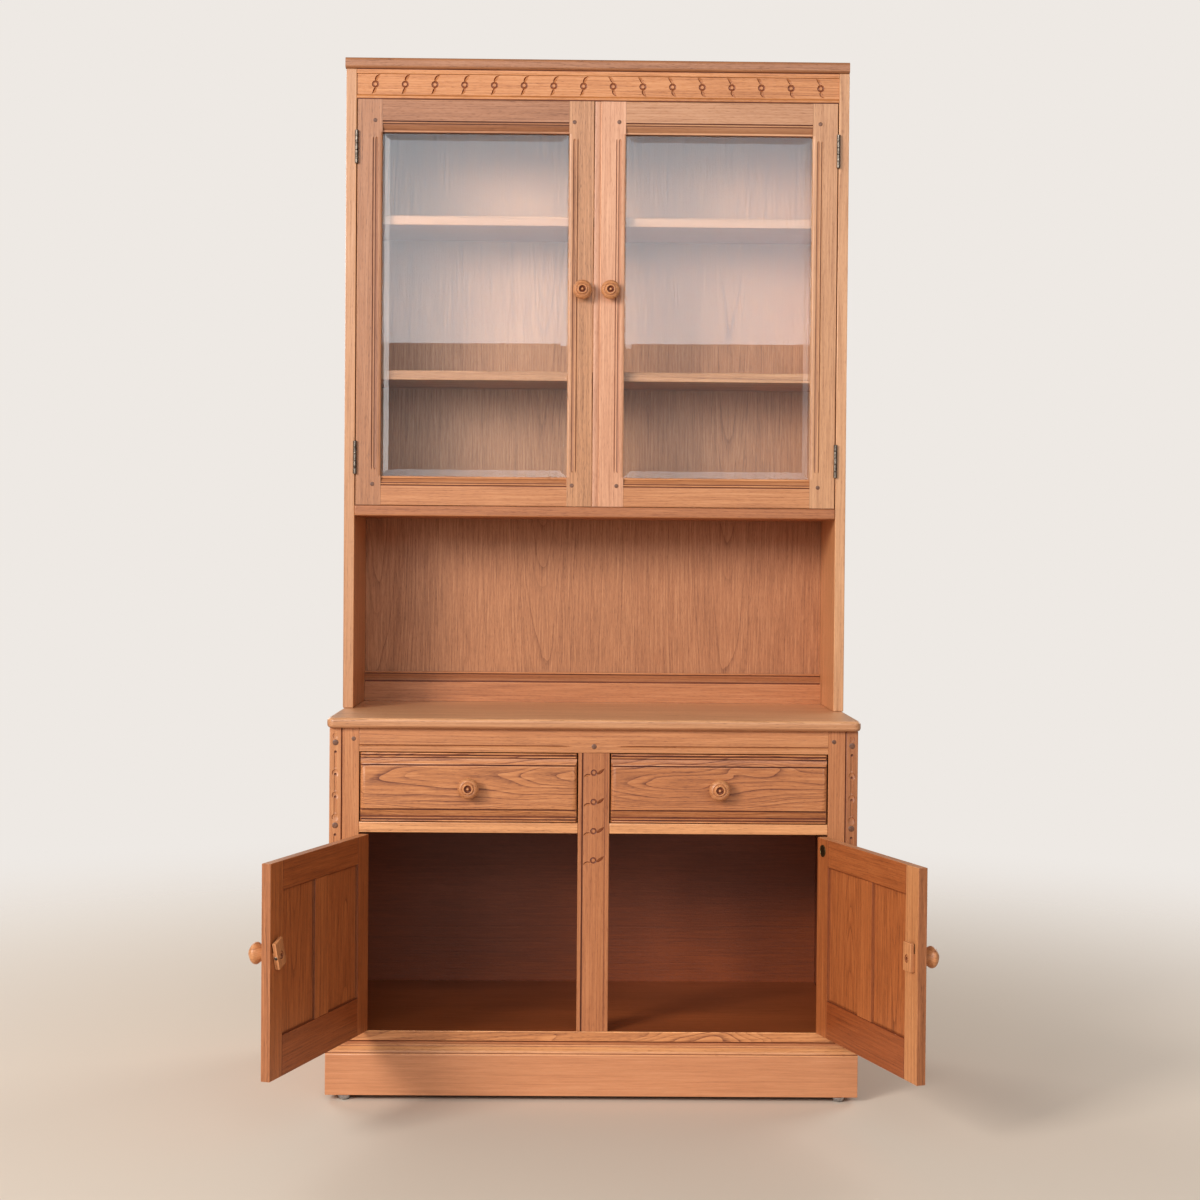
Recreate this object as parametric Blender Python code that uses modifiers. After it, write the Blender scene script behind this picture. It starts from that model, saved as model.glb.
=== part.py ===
"""Kitchen dresser: a cupboard base with two doors and two drawers, and a glazed display top.

Metres, +Z up. The front faces -Y and +X is to the right. While the pieces are placed, Y = 0 is
the front of the base's face frame. At the end the whole dresser is moved so that the origin lies
on the floor, under the middle of the space that it takes with its cupboard doors standing open.
"""

import math

import bmesh
import bpy
from mathutils import Matrix

# Fits
SEAT = 0.0003
HINGE_GAP = 0.0018
FREE_GAP = 0.002
MEETING_GAP = 0.0015
RUNNING = 0.0003

# Base carcase
BASE_WIDTH = 0.962
BASE_DEPTH = 0.468
SIDE_T = 0.022
FRAME_T = 0.018
STILE_W = 0.032
MUNTIN_W = 0.057
GLIDE_H = 0.010
PLINTH_H = 0.075
BOTTOM_RAIL_H = 0.022
FLOOR_T = 0.018
CUPBOARD_H = 0.362
DRAWER_RAIL_H = 0.019
DRAWER_OPENING_H = 0.128
TOP_RAIL_H = 0.043
BACK_T = 0.006
BACK_REBATE = 0.007
DUST_BOARD_T = 0.010
GUIDE_H = 0.040

# Plinth, with a moulding that covers the foot of the base in front
PLINTH_T = 0.022
PLINTH_FRONT_PROUD = 0.0144
PLINTH_SIDE_PROUD = 0.0034
PLINTH_MOULDING_H = 0.015
PLINTH_FILLET = 0.002
GLIDE_R = 0.011
GLIDE_FOOT_R = 0.005
GLIDE_SHOULDER_R = 0.009
GLIDE_SHOULDER_Z = 0.003
GLIDE_RIM_Z = 0.0075
GLIDE_INSET = 0.034

# Worktop
WORKTOP_T = 0.019
WORKTOP_NOSE = 0.015
WORKTOP_SIDE_OVERHANG = 0.004
WORKTOP_BACK_OVERHANG = 0.002
WORKTOP_CORNER_R = 0.014
WORKTOP_EDGE_R = 0.006

# Drawers
DRAWER_GAP_SIDE = 0.003
DRAWER_GAP_TOP = 0.0015
DRAWER_FRONT_T = 0.020
DRAWER_PROUD = 0.004
DRAWER_END_BEVEL = 0.011
DRAWER_END_DEPTH = 0.005
DRAWER_BEAD = 0.0032
DRAWER_FILLET = 0.0045
DRAWER_HOLLOW = 0.0115
DRAWER_QUIRK = 0.0016
DRAWER_STEP = 0.0012
DRAWER_BOX_H = 0.100
DRAWER_BACK_CLEARANCE = 0.0387
DRAWER_WALL = 0.010
DRAWER_BOTTOM_T = 0.008

# Cupboard doors, which stand open at rest
DOOR_T = 0.016
DOOR_STILE_W = 0.046
DOOR_TOP_RAIL_H = 0.049
DOOR_BOTTOM_RAIL_H = 0.068
DOOR_MUNTIN_W = 0.055
DOOR_PANEL_T = 0.008
DOOR_GROOVE = 0.008
DOOR_OPEN_DEG = 108.0
SPINDLE_INSET = 0.023
SPINDLE_R = 0.006
TURN_HEIGHT = 0.208
BUTTON_STANDOFF = 0.0026
BUTTON_T = 0.0064
BUTTON_W = 0.027
BUTTON_LONG = 0.030
BUTTON_SHORT = 0.0215
LEFT_BUTTON_TILT_DEG = 20.0
RIGHT_BUTTON_TILT_DEG = 0.0

# Display top
UPPER_INSET = 0.002
UPPER_DEPTH = 0.240
UPPER_SIDE_T = 0.020
RECESS_H = 0.3713
RECESS_SHELF_T = 0.0198
RECESS_SHELF_PROUD = 0.002
DISPLAY_OPENING_H = 0.779
FRIEZE_H = 0.0574
FRIEZE_T = 0.020
FRIEZE_STRIP = 0.009
FRIEZE_LEDGE = 0.006
FRIEZE_SUNK = 0.003
CORNICE_T = 0.0205
CORNICE_FRONT_PROUD = 0.006
CORNICE_SIDE_PROUD = 0.0025
CORNICE_EDGE_R = 0.004
DISPLAY_BACK_T = 0.008
DISPLAY_BACK_REBATE = 0.008
SHELF_T = 0.018
SHELF_SETBACK = 0.027
LOWER_SHELF_RISE = 0.244
UPPER_SHELF_RISE = 0.2805
UPSTAND_H = 0.060
UPSTAND_T = 0.016
UPSTAND_BEAD_H = 0.008
UPSTAND_HOLLOW_H = 0.016
UPSTAND_HOLLOW_DEPTH = 0.0064
UPSTAND_BEAD_PROUD = 0.0019
UPSTAND_QUIRK = 0.002

# Glazed doors
GLAZED_T = 0.022
GLAZED_STILE_W = 0.048
GLAZED_TOP_RAIL_H = 0.062
GLAZED_BOTTOM_RAIL_H = 0.056
GLAZED_MOULDING_H = 0.020
GLAZED_MOULDING_DEPTH = 0.008
GLAZED_FILLET = 0.0015
MEETING_X = -0.0065
MEETING_BEAD_W = 0.0115
MEETING_QUIRK = 0.002
SASH_ARRIS = 0.003
GLASS_T = 0.004
GLASS_GROOVE = 0.006
GLASS_SETBACK = 0.0115
GLAZED_KNOB_HEIGHT = 0.4155
GLAZED_KNOB_INSET = 0.0205

# Knobs and hinges
KNOB_R = 0.0185
DRAWER_KNOB_R = 0.0170
KNOB_NECK_R = 0.0085
KNOB_H = 0.032
KNOB_COLLAR_R = 0.0094
KNOB_COLLAR_H = 0.0065

# A knob's turned rings from its button outwards: share of its radius, and drop from its top
KNOB_RINGS = (
    (0.14, 0.0004),
    (0.20, 0.0016),
    (0.40, 0.0008),
    (0.72, 0.0035),
    (0.93, 0.0080),
    (1.00, 0.0125),
    (0.90, 0.0160),
)
HINGE_LENGTH = 0.064
HINGE_BARREL_R = 0.0035
HINGE_LEAF_T = 0.0012
HINGE_LEAF_W = 0.015
LOWER_HINGE_INSET = 0.006
GLAZED_HINGE_TOP_INSET = 0.052
GLAZED_HINGE_BOTTOM_INSET = 0.065

# Edges and the faceting of round work
EASED = 0.001
EASED_SEGMENTS = 3
CORNER_STEPS = 5
OVOLO_STEPS = 4
SHOULDER_STEPS = 5
KNOB_STEPS = 24
GLIDE_STEPS = 20
BORE_STEPS = 24
BARREL_STEPS = 12

# Levels, each resting on the one below
PLINTH_TOP = GLIDE_H + PLINTH_H
FLOOR_UNDER = PLINTH_TOP + BOTTOM_RAIL_H
FLOOR_TOP = FLOOR_UNDER + FLOOR_T
DRAWER_RAIL_Z = FLOOR_TOP + CUPBOARD_H
DRAWER_Z = DRAWER_RAIL_Z + DRAWER_RAIL_H
TOP_RAIL_Z = DRAWER_Z + DRAWER_OPENING_H
WORKTOP_Z = TOP_RAIL_Z + TOP_RAIL_H
WORKTOP_TOP = WORKTOP_Z + WORKTOP_T
RECESS_SHELF_Z = WORKTOP_TOP + RECESS_H
DISPLAY_Z = RECESS_SHELF_Z + RECESS_SHELF_T
FRIEZE_Z = DISPLAY_Z + DISPLAY_OPENING_H
CORNICE_Z = FRIEZE_Z + FRIEZE_H
CORNICE_TOP = CORNICE_Z + CORNICE_T
LOWER_SHELF_Z = DISPLAY_Z + LOWER_SHELF_RISE
UPPER_SHELF_Z = LOWER_SHELF_Z + SHELF_T + UPPER_SHELF_RISE

# Lines across and back
BASE_OUTER = BASE_WIDTH / 2
BASE_INNER = BASE_OUTER - SIDE_T
STILE_EDGE = BASE_INNER - STILE_W
MUNTIN_EDGE = MUNTIN_W / 2
WORKTOP_EDGE = BASE_OUTER + WORKTOP_SIDE_OVERHANG
UPPER_OUTER = WORKTOP_EDGE - UPPER_INSET
UPPER_INNER = UPPER_OUTER - UPPER_SIDE_T
UPPER_FRONT = BASE_DEPTH - UPPER_DEPTH
BASE_BACK_Y = BASE_DEPTH - BACK_REBATE - BACK_T
DISPLAY_BACK_Y = BASE_DEPTH - DISPLAY_BACK_REBATE - DISPLAY_BACK_T
BARREL_OUT = HINGE_BARREL_R + RUNNING

FRONT_AND_UP = Matrix(((0, 0, 1, 0), (1, 0, 0, 0), (0, 1, 0, 0), (0, 0, 0, 1)))
ACROSS_AND_BACK = Matrix.Identity(4)


def clear_scene():
    for obj in list(bpy.data.objects):
        bpy.data.objects.remove(obj, do_unlink=True)


def make_finish(name, colour, roughness, metallic=0.0, transmission=0.0):
    material = bpy.data.materials.new(name)
    material.use_nodes = True
    shader = material.node_tree.nodes["Principled BSDF"]
    shader.inputs["Base Color"].default_value = (*colour, 1.0)
    shader.inputs["Roughness"].default_value = roughness
    shader.inputs["Metallic"].default_value = metallic
    shader.inputs["Transmission Weight"].default_value = transmission
    material.diffuse_color = (*colour, 1.0)
    return material


clear_scene()

PARTS = bpy.data.collections.new("kitchen_dresser")
CUTTERS = bpy.data.collections.new("kitchen_dresser_cutters")
for collection in (PARTS, CUTTERS):
    bpy.context.scene.collection.children.link(collection)

ELM = make_finish("waxed_elm", (0.53, 0.26, 0.12), 0.45)
ELM_INSIDE = make_finish("inside_elm", (0.32, 0.14, 0.06), 0.55)
PLY = make_finish("stained_ply", (0.20, 0.075, 0.03), 0.55)
CLEAR_GLASS = make_finish("clear_glass", (0.90, 0.93, 0.92), 0.03, transmission=1.0)
HINGE_METAL = make_finish("dark_hinge_metal", (0.10, 0.075, 0.05), 0.45, metallic=1.0)
GLIDE_METAL = make_finish("glide_steel", (0.55, 0.55, 0.57), 0.30, metallic=1.0)


def add_empty(name, place=(0.0, 0.0, 0.0), parent=None, turn_z_deg=0.0):
    empty = bpy.data.objects.new(name, None)
    bpy.context.scene.collection.objects.link(empty)
    empty.location = place
    empty.rotation_euler = (0.0, 0.0, math.radians(turn_z_deg))
    empty.parent = parent
    return empty


def add_object(name, mesh, finish, place, parent, is_cutter=False):
    obj = bpy.data.objects.new(name, mesh)
    obj.location = place
    obj.parent = parent
    if is_cutter:
        obj.hide_render = True
        obj.display_type = "WIRE"
        CUTTERS.objects.link(obj)
    else:
        mesh.materials.append(finish)
        PARTS.objects.link(obj)
    return obj


def box_mesh(name, size):
    mesh = bpy.data.meshes.new(name)
    shape = bmesh.new()
    bmesh.ops.create_cube(shape, size=1.0, matrix=Matrix.Diagonal((*size, 1.0)))
    shape.to_mesh(mesh)
    shape.free()
    return mesh


def ease_edges(obj, width, segments=1):
    """Round the arrises, but not the shallow edges along a curve."""
    bevel = obj.modifiers.new("eased_edges", "BEVEL")
    bevel.width = width
    bevel.segments = segments
    bevel.limit_method = "ANGLE"
    bevel.angle_limit = math.radians(40)
    return bevel


def board(name, low, high, parent, finish=None, eased=0.0, is_cutter=False):
    """A plain board between its lowest and highest corners."""
    size = [b - a for a, b in zip(low, high)]
    middle = [(a + b) / 2 for a, b in zip(low, high)]
    obj = add_object(name, box_mesh(name, size), finish or ELM, middle, parent, is_cutter)
    if eased:
        ease_edges(obj, eased)
    return obj


def arc(centre, radius, start_deg, end_deg, steps):
    """Points along a round stretch of an outline, both ends included."""
    points = []
    for step in range(steps + 1):
        angle = math.radians(start_deg + (end_deg - start_deg) * step / steps)
        points.append((centre[0] + radius * math.cos(angle), centre[1] + radius * math.sin(angle)))
    return points


def outline_mesh(name, rings, start, end, axes):
    """A flat outline, with its holes, made solid between start and end along its normal."""
    curve = bpy.data.curves.new(name, "CURVE")
    curve.dimensions = "2D"
    curve.fill_mode = "BOTH"
    curve.extrude = (end - start) / 2
    for ring in rings:
        spline = curve.splines.new("POLY")
        spline.points.add(len(ring) - 1)
        for point, (across, along) in zip(spline.points, ring):
            point.co = (across, along, 0.0, 1.0)
        spline.use_cyclic_u = True
    flat = bpy.data.objects.new(name, curve)
    bpy.context.scene.collection.objects.link(flat)
    graph = bpy.context.evaluated_depsgraph_get()
    mesh = bpy.data.meshes.new_from_object(flat.evaluated_get(graph))
    bpy.data.objects.remove(flat, do_unlink=True)
    bpy.data.curves.remove(curve)
    mesh.name = name
    shape = bmesh.new()
    shape.from_mesh(mesh)
    bmesh.ops.remove_doubles(shape, verts=shape.verts, dist=0.00001)
    bmesh.ops.recalc_face_normals(shape, faces=shape.faces)
    shape.to_mesh(mesh)
    shape.free()
    mesh.transform(axes @ Matrix.Translation((0.0, 0.0, (start + end) / 2)))
    return mesh


def moulding(name, rings, start, end, axes, parent, finish=None, is_cutter=False):
    """A piece of one section all along. Its origin is moved to its own middle."""
    mesh = outline_mesh(name, rings, start, end, axes)
    middle = [
        (min(v.co[i] for v in mesh.vertices) + max(v.co[i] for v in mesh.vertices)) / 2
        for i in range(3)
    ]
    mesh.transform(Matrix.Translation([-value for value in middle]))
    return add_object(name, mesh, finish or ELM, middle, parent, is_cutter)


def turned(name, profile, steps, place, parent, finish=None, tilt_x_deg=90.0):
    """A turned piece. The profile gives radius and height, from its top down to its foot."""
    mesh = bpy.data.meshes.new(name)
    points = [(radius, 0.0, height) for radius, height in profile]
    edges = [(i, i + 1) for i in range(len(points) - 1)]
    mesh.from_pydata(points, edges, [])
    obj = add_object(name, mesh, finish or ELM, place, parent)
    obj.rotation_euler = (math.radians(tilt_x_deg), 0.0, 0.0)
    screw = obj.modifiers.new("turned", "SCREW")
    screw.axis = "Z"
    screw.angle = math.tau
    screw.steps = steps
    screw.render_steps = steps
    screw.use_merge_vertices = True
    screw.merge_threshold = 0.00001
    screw.use_smooth_shade = True
    return obj


def combine(obj, tool, operation):
    boolean = obj.modifiers.new(operation.lower(), "BOOLEAN")
    boolean.operation = operation
    boolean.object = tool
    return boolean


def rectangle(low_a, high_a, low_b, high_b):
    return [(low_a, low_b), (high_a, low_b), (high_a, high_b), (low_a, high_b)]


def knob_profile(radius, spindle_r=0.0, spindle_end=0.0):
    """A mushroom knob with a raised button, and below its foot a spindle if it has one."""
    profile = [(0.0, KNOB_H)]
    profile += [(radius * share, KNOB_H - drop) for share, drop in KNOB_RINGS]
    profile += [(KNOB_COLLAR_R, KNOB_COLLAR_H), (KNOB_NECK_R, 0.0)]
    if spindle_r:
        profile += [(spindle_r, 0.0), (spindle_r, -spindle_end)]
    return profile + [(0.0, profile[-1][1])]


def hinge(name, low_z, front_y, parent):
    """A butt hinge's barrel with the leaf let in between door and frame, as one piece."""
    mesh = bpy.data.meshes.new(name)
    shape = bmesh.new()
    bmesh.ops.create_cone(
        shape, cap_ends=True, segments=BARREL_STEPS, radius1=HINGE_BARREL_R,
        radius2=HINGE_BARREL_R, depth=HINGE_LENGTH)
    shape.to_mesh(mesh)
    shape.free()
    middle_z = low_z + HINGE_LENGTH / 2
    barrel_y = front_y - BARREL_OUT
    obj = add_object(name, mesh, HINGE_METAL, (0.0, barrel_y, middle_z), parent)
    leaf = board(
        name + "_leaf",
        (-HINGE_LEAF_T / 2, barrel_y, low_z + EASED),
        (HINGE_LEAF_T / 2, front_y + HINGE_LEAF_W, low_z + HINGE_LENGTH - EASED),
        parent, is_cutter=True)
    combine(obj, leaf, "UNION")
    return obj


# Base carcase

def build_glides(root):
    top = GLIDE_H - SEAT
    profile = [(0.0, top), (GLIDE_R, top), (GLIDE_R, GLIDE_RIM_Z),
               (GLIDE_SHOULDER_R, GLIDE_SHOULDER_Z), (GLIDE_FOOT_R, 0.0), (0.0, 0.0)]
    front_y = PLINTH_T / 2 - PLINTH_FRONT_PROUD
    back_y = BASE_DEPTH - PLINTH_T / 2
    across = BASE_OUTER + PLINTH_SIDE_PROUD - GLIDE_INSET
    for row, y in (("front", front_y), ("back", back_y)):
        for hand, side in (("left", -1), ("right", 1)):
            turned(f"glide_{row}_{hand}", profile, GLIDE_STEPS, (side * across, y, 0.0), root,
                   GLIDE_METAL, tilt_x_deg=0.0)


def build_plinth(root):
    outer = BASE_OUTER + PLINTH_SIDE_PROUD
    front = -PLINTH_FRONT_PROUD
    ring = moulding(
        "plinth",
        [rectangle(-outer, outer, front, BASE_DEPTH),
         rectangle(-outer + PLINTH_T, outer - PLINTH_T, front + PLINTH_T, BASE_DEPTH - PLINTH_T)],
        GLIDE_H, PLINTH_TOP, ACROSS_AND_BACK, root)
    depth = PLINTH_FRONT_PROUD - SEAT - PLINTH_FILLET
    rise = PLINTH_MOULDING_H - PLINTH_FILLET
    turn = math.pi / 2 / SHOULDER_STEPS
    shoulder = [
        (front + depth * (1 - math.cos(turn * step)), PLINTH_TOP + rise * math.sin(turn * step))
        for step in range(SHOULDER_STEPS + 1)
    ]
    section = [(-SEAT, PLINTH_TOP - PLINTH_FILLET), (front, PLINTH_TOP - PLINTH_FILLET)]
    section += shoulder
    section += [(-SEAT - PLINTH_FILLET, PLINTH_TOP + PLINTH_MOULDING_H),
                (-SEAT, PLINTH_TOP + PLINTH_MOULDING_H)]
    cap = moulding("plinth_moulding", [section], -outer, outer, FRONT_AND_UP, root, is_cutter=True)
    combine(ring, cap, "UNION")


def build_base_carcase(root):
    inner = BASE_INNER - SEAT
    for hand, side in (("left", -1), ("right", 1)):
        xs = sorted((side * BASE_INNER, side * BASE_OUTER))
        board(f"base_side_{hand}", (xs[0], 0.0, PLINTH_TOP + SEAT),
              (xs[1], BASE_DEPTH, WORKTOP_Z - SEAT), root, eased=EASED)
        xs = sorted((side * STILE_EDGE, side * inner))
        board(f"base_stile_{hand}", (xs[0], 0.0, FLOOR_TOP + SEAT),
              (xs[1], FRAME_T, WORKTOP_Z - SEAT), root)
        xs = sorted((side * (MUNTIN_EDGE + SEAT), side * (STILE_EDGE - SEAT)))
        board(f"drawer_rail_{hand}", (xs[0], 0.0, DRAWER_RAIL_Z), (xs[1], FRAME_T, DRAWER_Z), root)
    board("base_top_rail", (-STILE_EDGE + SEAT, 0.0, TOP_RAIL_Z),
          (STILE_EDGE - SEAT, FRAME_T, WORKTOP_Z - SEAT), root)
    board("base_muntin", (-MUNTIN_EDGE, 0.0, FLOOR_TOP + SEAT),
          (MUNTIN_EDGE, FRAME_T, TOP_RAIL_Z - SEAT), root)
    board("base_bottom_rail", (-inner, 0.0, PLINTH_TOP + SEAT),
          (inner, FRAME_T, FLOOR_UNDER - SEAT), root)
    board("base_floor", (-inner, 0.0, FLOOR_UNDER), (inner, BASE_BACK_Y - SEAT, FLOOR_TOP), root)
    board("base_back", (-inner, BASE_BACK_Y, PLINTH_TOP + SEAT),
          (inner, BASE_BACK_Y + BACK_T, WORKTOP_Z - SEAT), root, PLY)
    board("dust_board", (-inner, FRAME_T + SEAT, DRAWER_Z - DUST_BOARD_T),
          (inner, BASE_BACK_Y - SEAT, DRAWER_Z), root, PLY)
    board("drawer_guide", (-MUNTIN_EDGE, FRAME_T + SEAT, DRAWER_Z + SEAT),
          (MUNTIN_EDGE, BASE_BACK_Y - SEAT, DRAWER_Z + GUIDE_H), root, ELM_INSIDE)


def build_worktop(root):
    front = -WORKTOP_NOSE
    back = BASE_DEPTH + WORKTOP_BACK_OVERHANG
    radius = WORKTOP_CORNER_R
    outline = [(WORKTOP_EDGE, back), (-WORKTOP_EDGE, back)]
    outline += arc((-WORKTOP_EDGE + radius, front + radius), radius, 180, 270, CORNER_STEPS)
    outline += arc((WORKTOP_EDGE - radius, front + radius), radius, 270, 360, CORNER_STEPS)
    top = moulding("worktop", [outline], WORKTOP_Z, WORKTOP_TOP, ACROSS_AND_BACK, root)
    ease_edges(top, WORKTOP_EDGE_R, EASED_SEGMENTS)


# Drawers

def drawer_section(front, back, low, high):
    """A fielded front: a bead, a fillet and a hollow run along its top and bottom."""
    bead = DRAWER_BEAD
    fillet = bead + DRAWER_FILLET
    hollow = fillet + DRAWER_HOLLOW
    quirk = hollow + DRAWER_QUIRK
    raised = front + DRAWER_STEP
    sunk = front + 2 * DRAWER_STEP
    lower = [
        (sunk, low), (raised, low + bead / 2), (sunk, low + bead),
        (sunk, low + fillet), (raised, low + fillet),
        (front, low + hollow), (sunk, low + hollow), (sunk, low + quirk),
        (front, low + quirk),
    ]
    upper = [(y, low + high - z) for y, z in reversed(lower)]
    return [(back, low)] + lower + upper + [(back, high)]


def build_drawer(hand, side, root):
    low_x, high_x = MUNTIN_EDGE + DRAWER_GAP_SIDE, STILE_EDGE - DRAWER_GAP_SIDE
    xs = sorted((side * low_x, side * high_x))
    low_z, high_z = DRAWER_Z + DRAWER_GAP_TOP, TOP_RAIL_Z - DRAWER_GAP_TOP
    front_y, back_y = -DRAWER_PROUD, DRAWER_FRONT_T - DRAWER_PROUD
    middle_x = (xs[0] + xs[1]) / 2
    middle_z = (low_z + high_z) / 2
    slide = add_empty(f"drawer_{hand}_slide", (middle_x, 0.0, middle_z), root)
    half = (xs[1] - xs[0]) / 2
    front = moulding(
        f"drawer_{hand}_front",
        [drawer_section(front_y, back_y, low_z - middle_z, high_z - middle_z)],
        -half, half, FRONT_AND_UP, slide)
    for end in (-1, 1):
        spare = EASED
        wedge = [(end * (half + spare), front_y - spare),
                 (end * (half - DRAWER_END_BEVEL), front_y - spare),
                 (end * (half - DRAWER_END_BEVEL), front_y),
                 (end * half, front_y + DRAWER_END_DEPTH),
                 (end * (half + spare), front_y + DRAWER_END_DEPTH)]
        cutter = moulding(f"drawer_{hand}_bevel_{'right' if end > 0 else 'left'}", [wedge],
                          low_z - middle_z - spare, high_z - middle_z + spare,
                          ACROSS_AND_BACK, slide, is_cutter=True)
        combine(front, cutter, "DIFFERENCE")
    box_y = back_y + SEAT
    box_back = BASE_BACK_Y - DRAWER_BACK_CLEARANCE
    foot = DRAWER_Z + SEAT - middle_z
    tray = board(f"drawer_{hand}_box", (-half, box_y, foot),
                 (half, box_back, foot + DRAWER_BOX_H), slide, ELM_INSIDE)
    hollow = board(f"drawer_{hand}_hollow",
                   (-half + DRAWER_WALL, box_y + DRAWER_WALL, foot + DRAWER_BOTTOM_T),
                   (half - DRAWER_WALL, box_back - DRAWER_WALL,
                    foot + DRAWER_BOX_H + DRAWER_WALL), slide, is_cutter=True)
    combine(tray, hollow, "DIFFERENCE")
    turned(f"drawer_{hand}_knob", knob_profile(DRAWER_KNOB_R), KNOB_STEPS,
           (0.0, front_y - SEAT, 0.0), slide)


# Cupboard doors

def build_cupboard_door(hand, side, tilt_deg, root):
    """Built shut, with the hinge axis at the empty, then swung open by it."""
    axis_x = side * (STILE_EDGE - HINGE_GAP / 2)
    swing = add_empty(f"lower_door_{hand}_swing", (axis_x, -BARREL_OUT, 0.0), root,
                      side * DOOR_OPEN_DEG)
    inward = -side
    hinge_edge = HINGE_GAP / 2
    free_edge = STILE_EDGE - MUNTIN_EDGE - HINGE_GAP / 2 - FREE_GAP
    low, high = FLOOR_TOP + FREE_GAP, DRAWER_RAIL_Z - FREE_GAP
    face, inside = BARREL_OUT, BARREL_OUT + DOOR_T
    middle = (hinge_edge + free_edge) / 2
    panel_low, panel_high = low + DOOR_BOTTOM_RAIL_H, high - DOOR_TOP_RAIL_H

    def across(start, end):
        return sorted((inward * start, inward * end))

    edges = across(hinge_edge, free_edge)
    frame = board(f"lower_door_{hand}_frame", (edges[0], face, low), (edges[1], inside, high), swing)
    lights = (("hinge", across(hinge_edge + DOOR_STILE_W, middle - DOOR_MUNTIN_W / 2)),
              ("free", across(middle + DOOR_MUNTIN_W / 2, free_edge - DOOR_STILE_W)))
    for place, xs in lights:
        light = board(f"lower_door_{hand}_light_{place}", (xs[0], face - EASED, panel_low),
                      (xs[1], inside + EASED, panel_high), swing, is_cutter=True)
        combine(frame, light, "DIFFERENCE")
    groove_x = across(hinge_edge + DOOR_STILE_W - DOOR_GROOVE,
                      free_edge - DOOR_STILE_W + DOOR_GROOVE)
    centre_y = (face + inside) / 2
    half_groove = DOOR_PANEL_T / 2 + SEAT
    groove = board(f"lower_door_{hand}_groove",
                   (groove_x[0], centre_y - half_groove, panel_low - DOOR_GROOVE),
                   (groove_x[1], centre_y + half_groove, panel_high + DOOR_GROOVE),
                   swing, is_cutter=True)
    combine(frame, groove, "DIFFERENCE")
    board(f"lower_door_{hand}_panel",
          (groove_x[0] + SEAT, centre_y - DOOR_PANEL_T / 2, panel_low - DOOR_GROOVE + SEAT),
          (groove_x[1] - SEAT, centre_y + DOOR_PANEL_T / 2, panel_high + DOOR_GROOVE - SEAT), swing)

    spindle_x = inward * (free_edge - SPINDLE_INSET)
    spindle_z = FLOOR_TOP + TURN_HEIGHT
    bore_mesh = bpy.data.meshes.new(f"lower_door_{hand}_bore")
    shape = bmesh.new()
    bmesh.ops.create_cone(shape, cap_ends=True, segments=BORE_STEPS, radius1=SPINDLE_R + RUNNING,
                          radius2=SPINDLE_R + RUNNING, depth=DOOR_T * 2)
    shape.to_mesh(bore_mesh)
    shape.free()
    bore = add_object(f"lower_door_{hand}_bore", bore_mesh, None,
                      (spindle_x, centre_y, spindle_z), swing, is_cutter=True)
    bore.rotation_euler = (math.radians(90), 0.0, 0.0)
    combine(frame, bore, "DIFFERENCE")

    button_y = inside + BUTTON_STANDOFF
    spindle_end = button_y + BUTTON_T - face + SEAT
    turn = turned(f"lower_door_{hand}_turn",
                  knob_profile(KNOB_R, SPINDLE_R, spindle_end), KNOB_STEPS,
                  (spindle_x, face - SEAT, spindle_z), swing)
    button = board(f"lower_door_{hand}_button",
                   (-BUTTON_W / 2, -BUTTON_T / 2, -BUTTON_SHORT),
                   (BUTTON_W / 2, BUTTON_T / 2, BUTTON_LONG), swing, is_cutter=True)
    tilt = math.radians(inward * tilt_deg)
    rise = (BUTTON_LONG - BUTTON_SHORT) / 2
    button.rotation_euler = (0.0, tilt, 0.0)
    button.location = (spindle_x + rise * math.sin(tilt), button_y + BUTTON_T / 2,
                       spindle_z + rise * math.cos(tilt))
    combine(turn, button, "UNION")

    for level, hinge_z in (("bottom", low + LOWER_HINGE_INSET),
                           ("top", high - LOWER_HINGE_INSET - HINGE_LENGTH)):
        hinge(f"lower_hinge_{hand}_{level}", hinge_z, BARREL_OUT, swing)


# Display top

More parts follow.
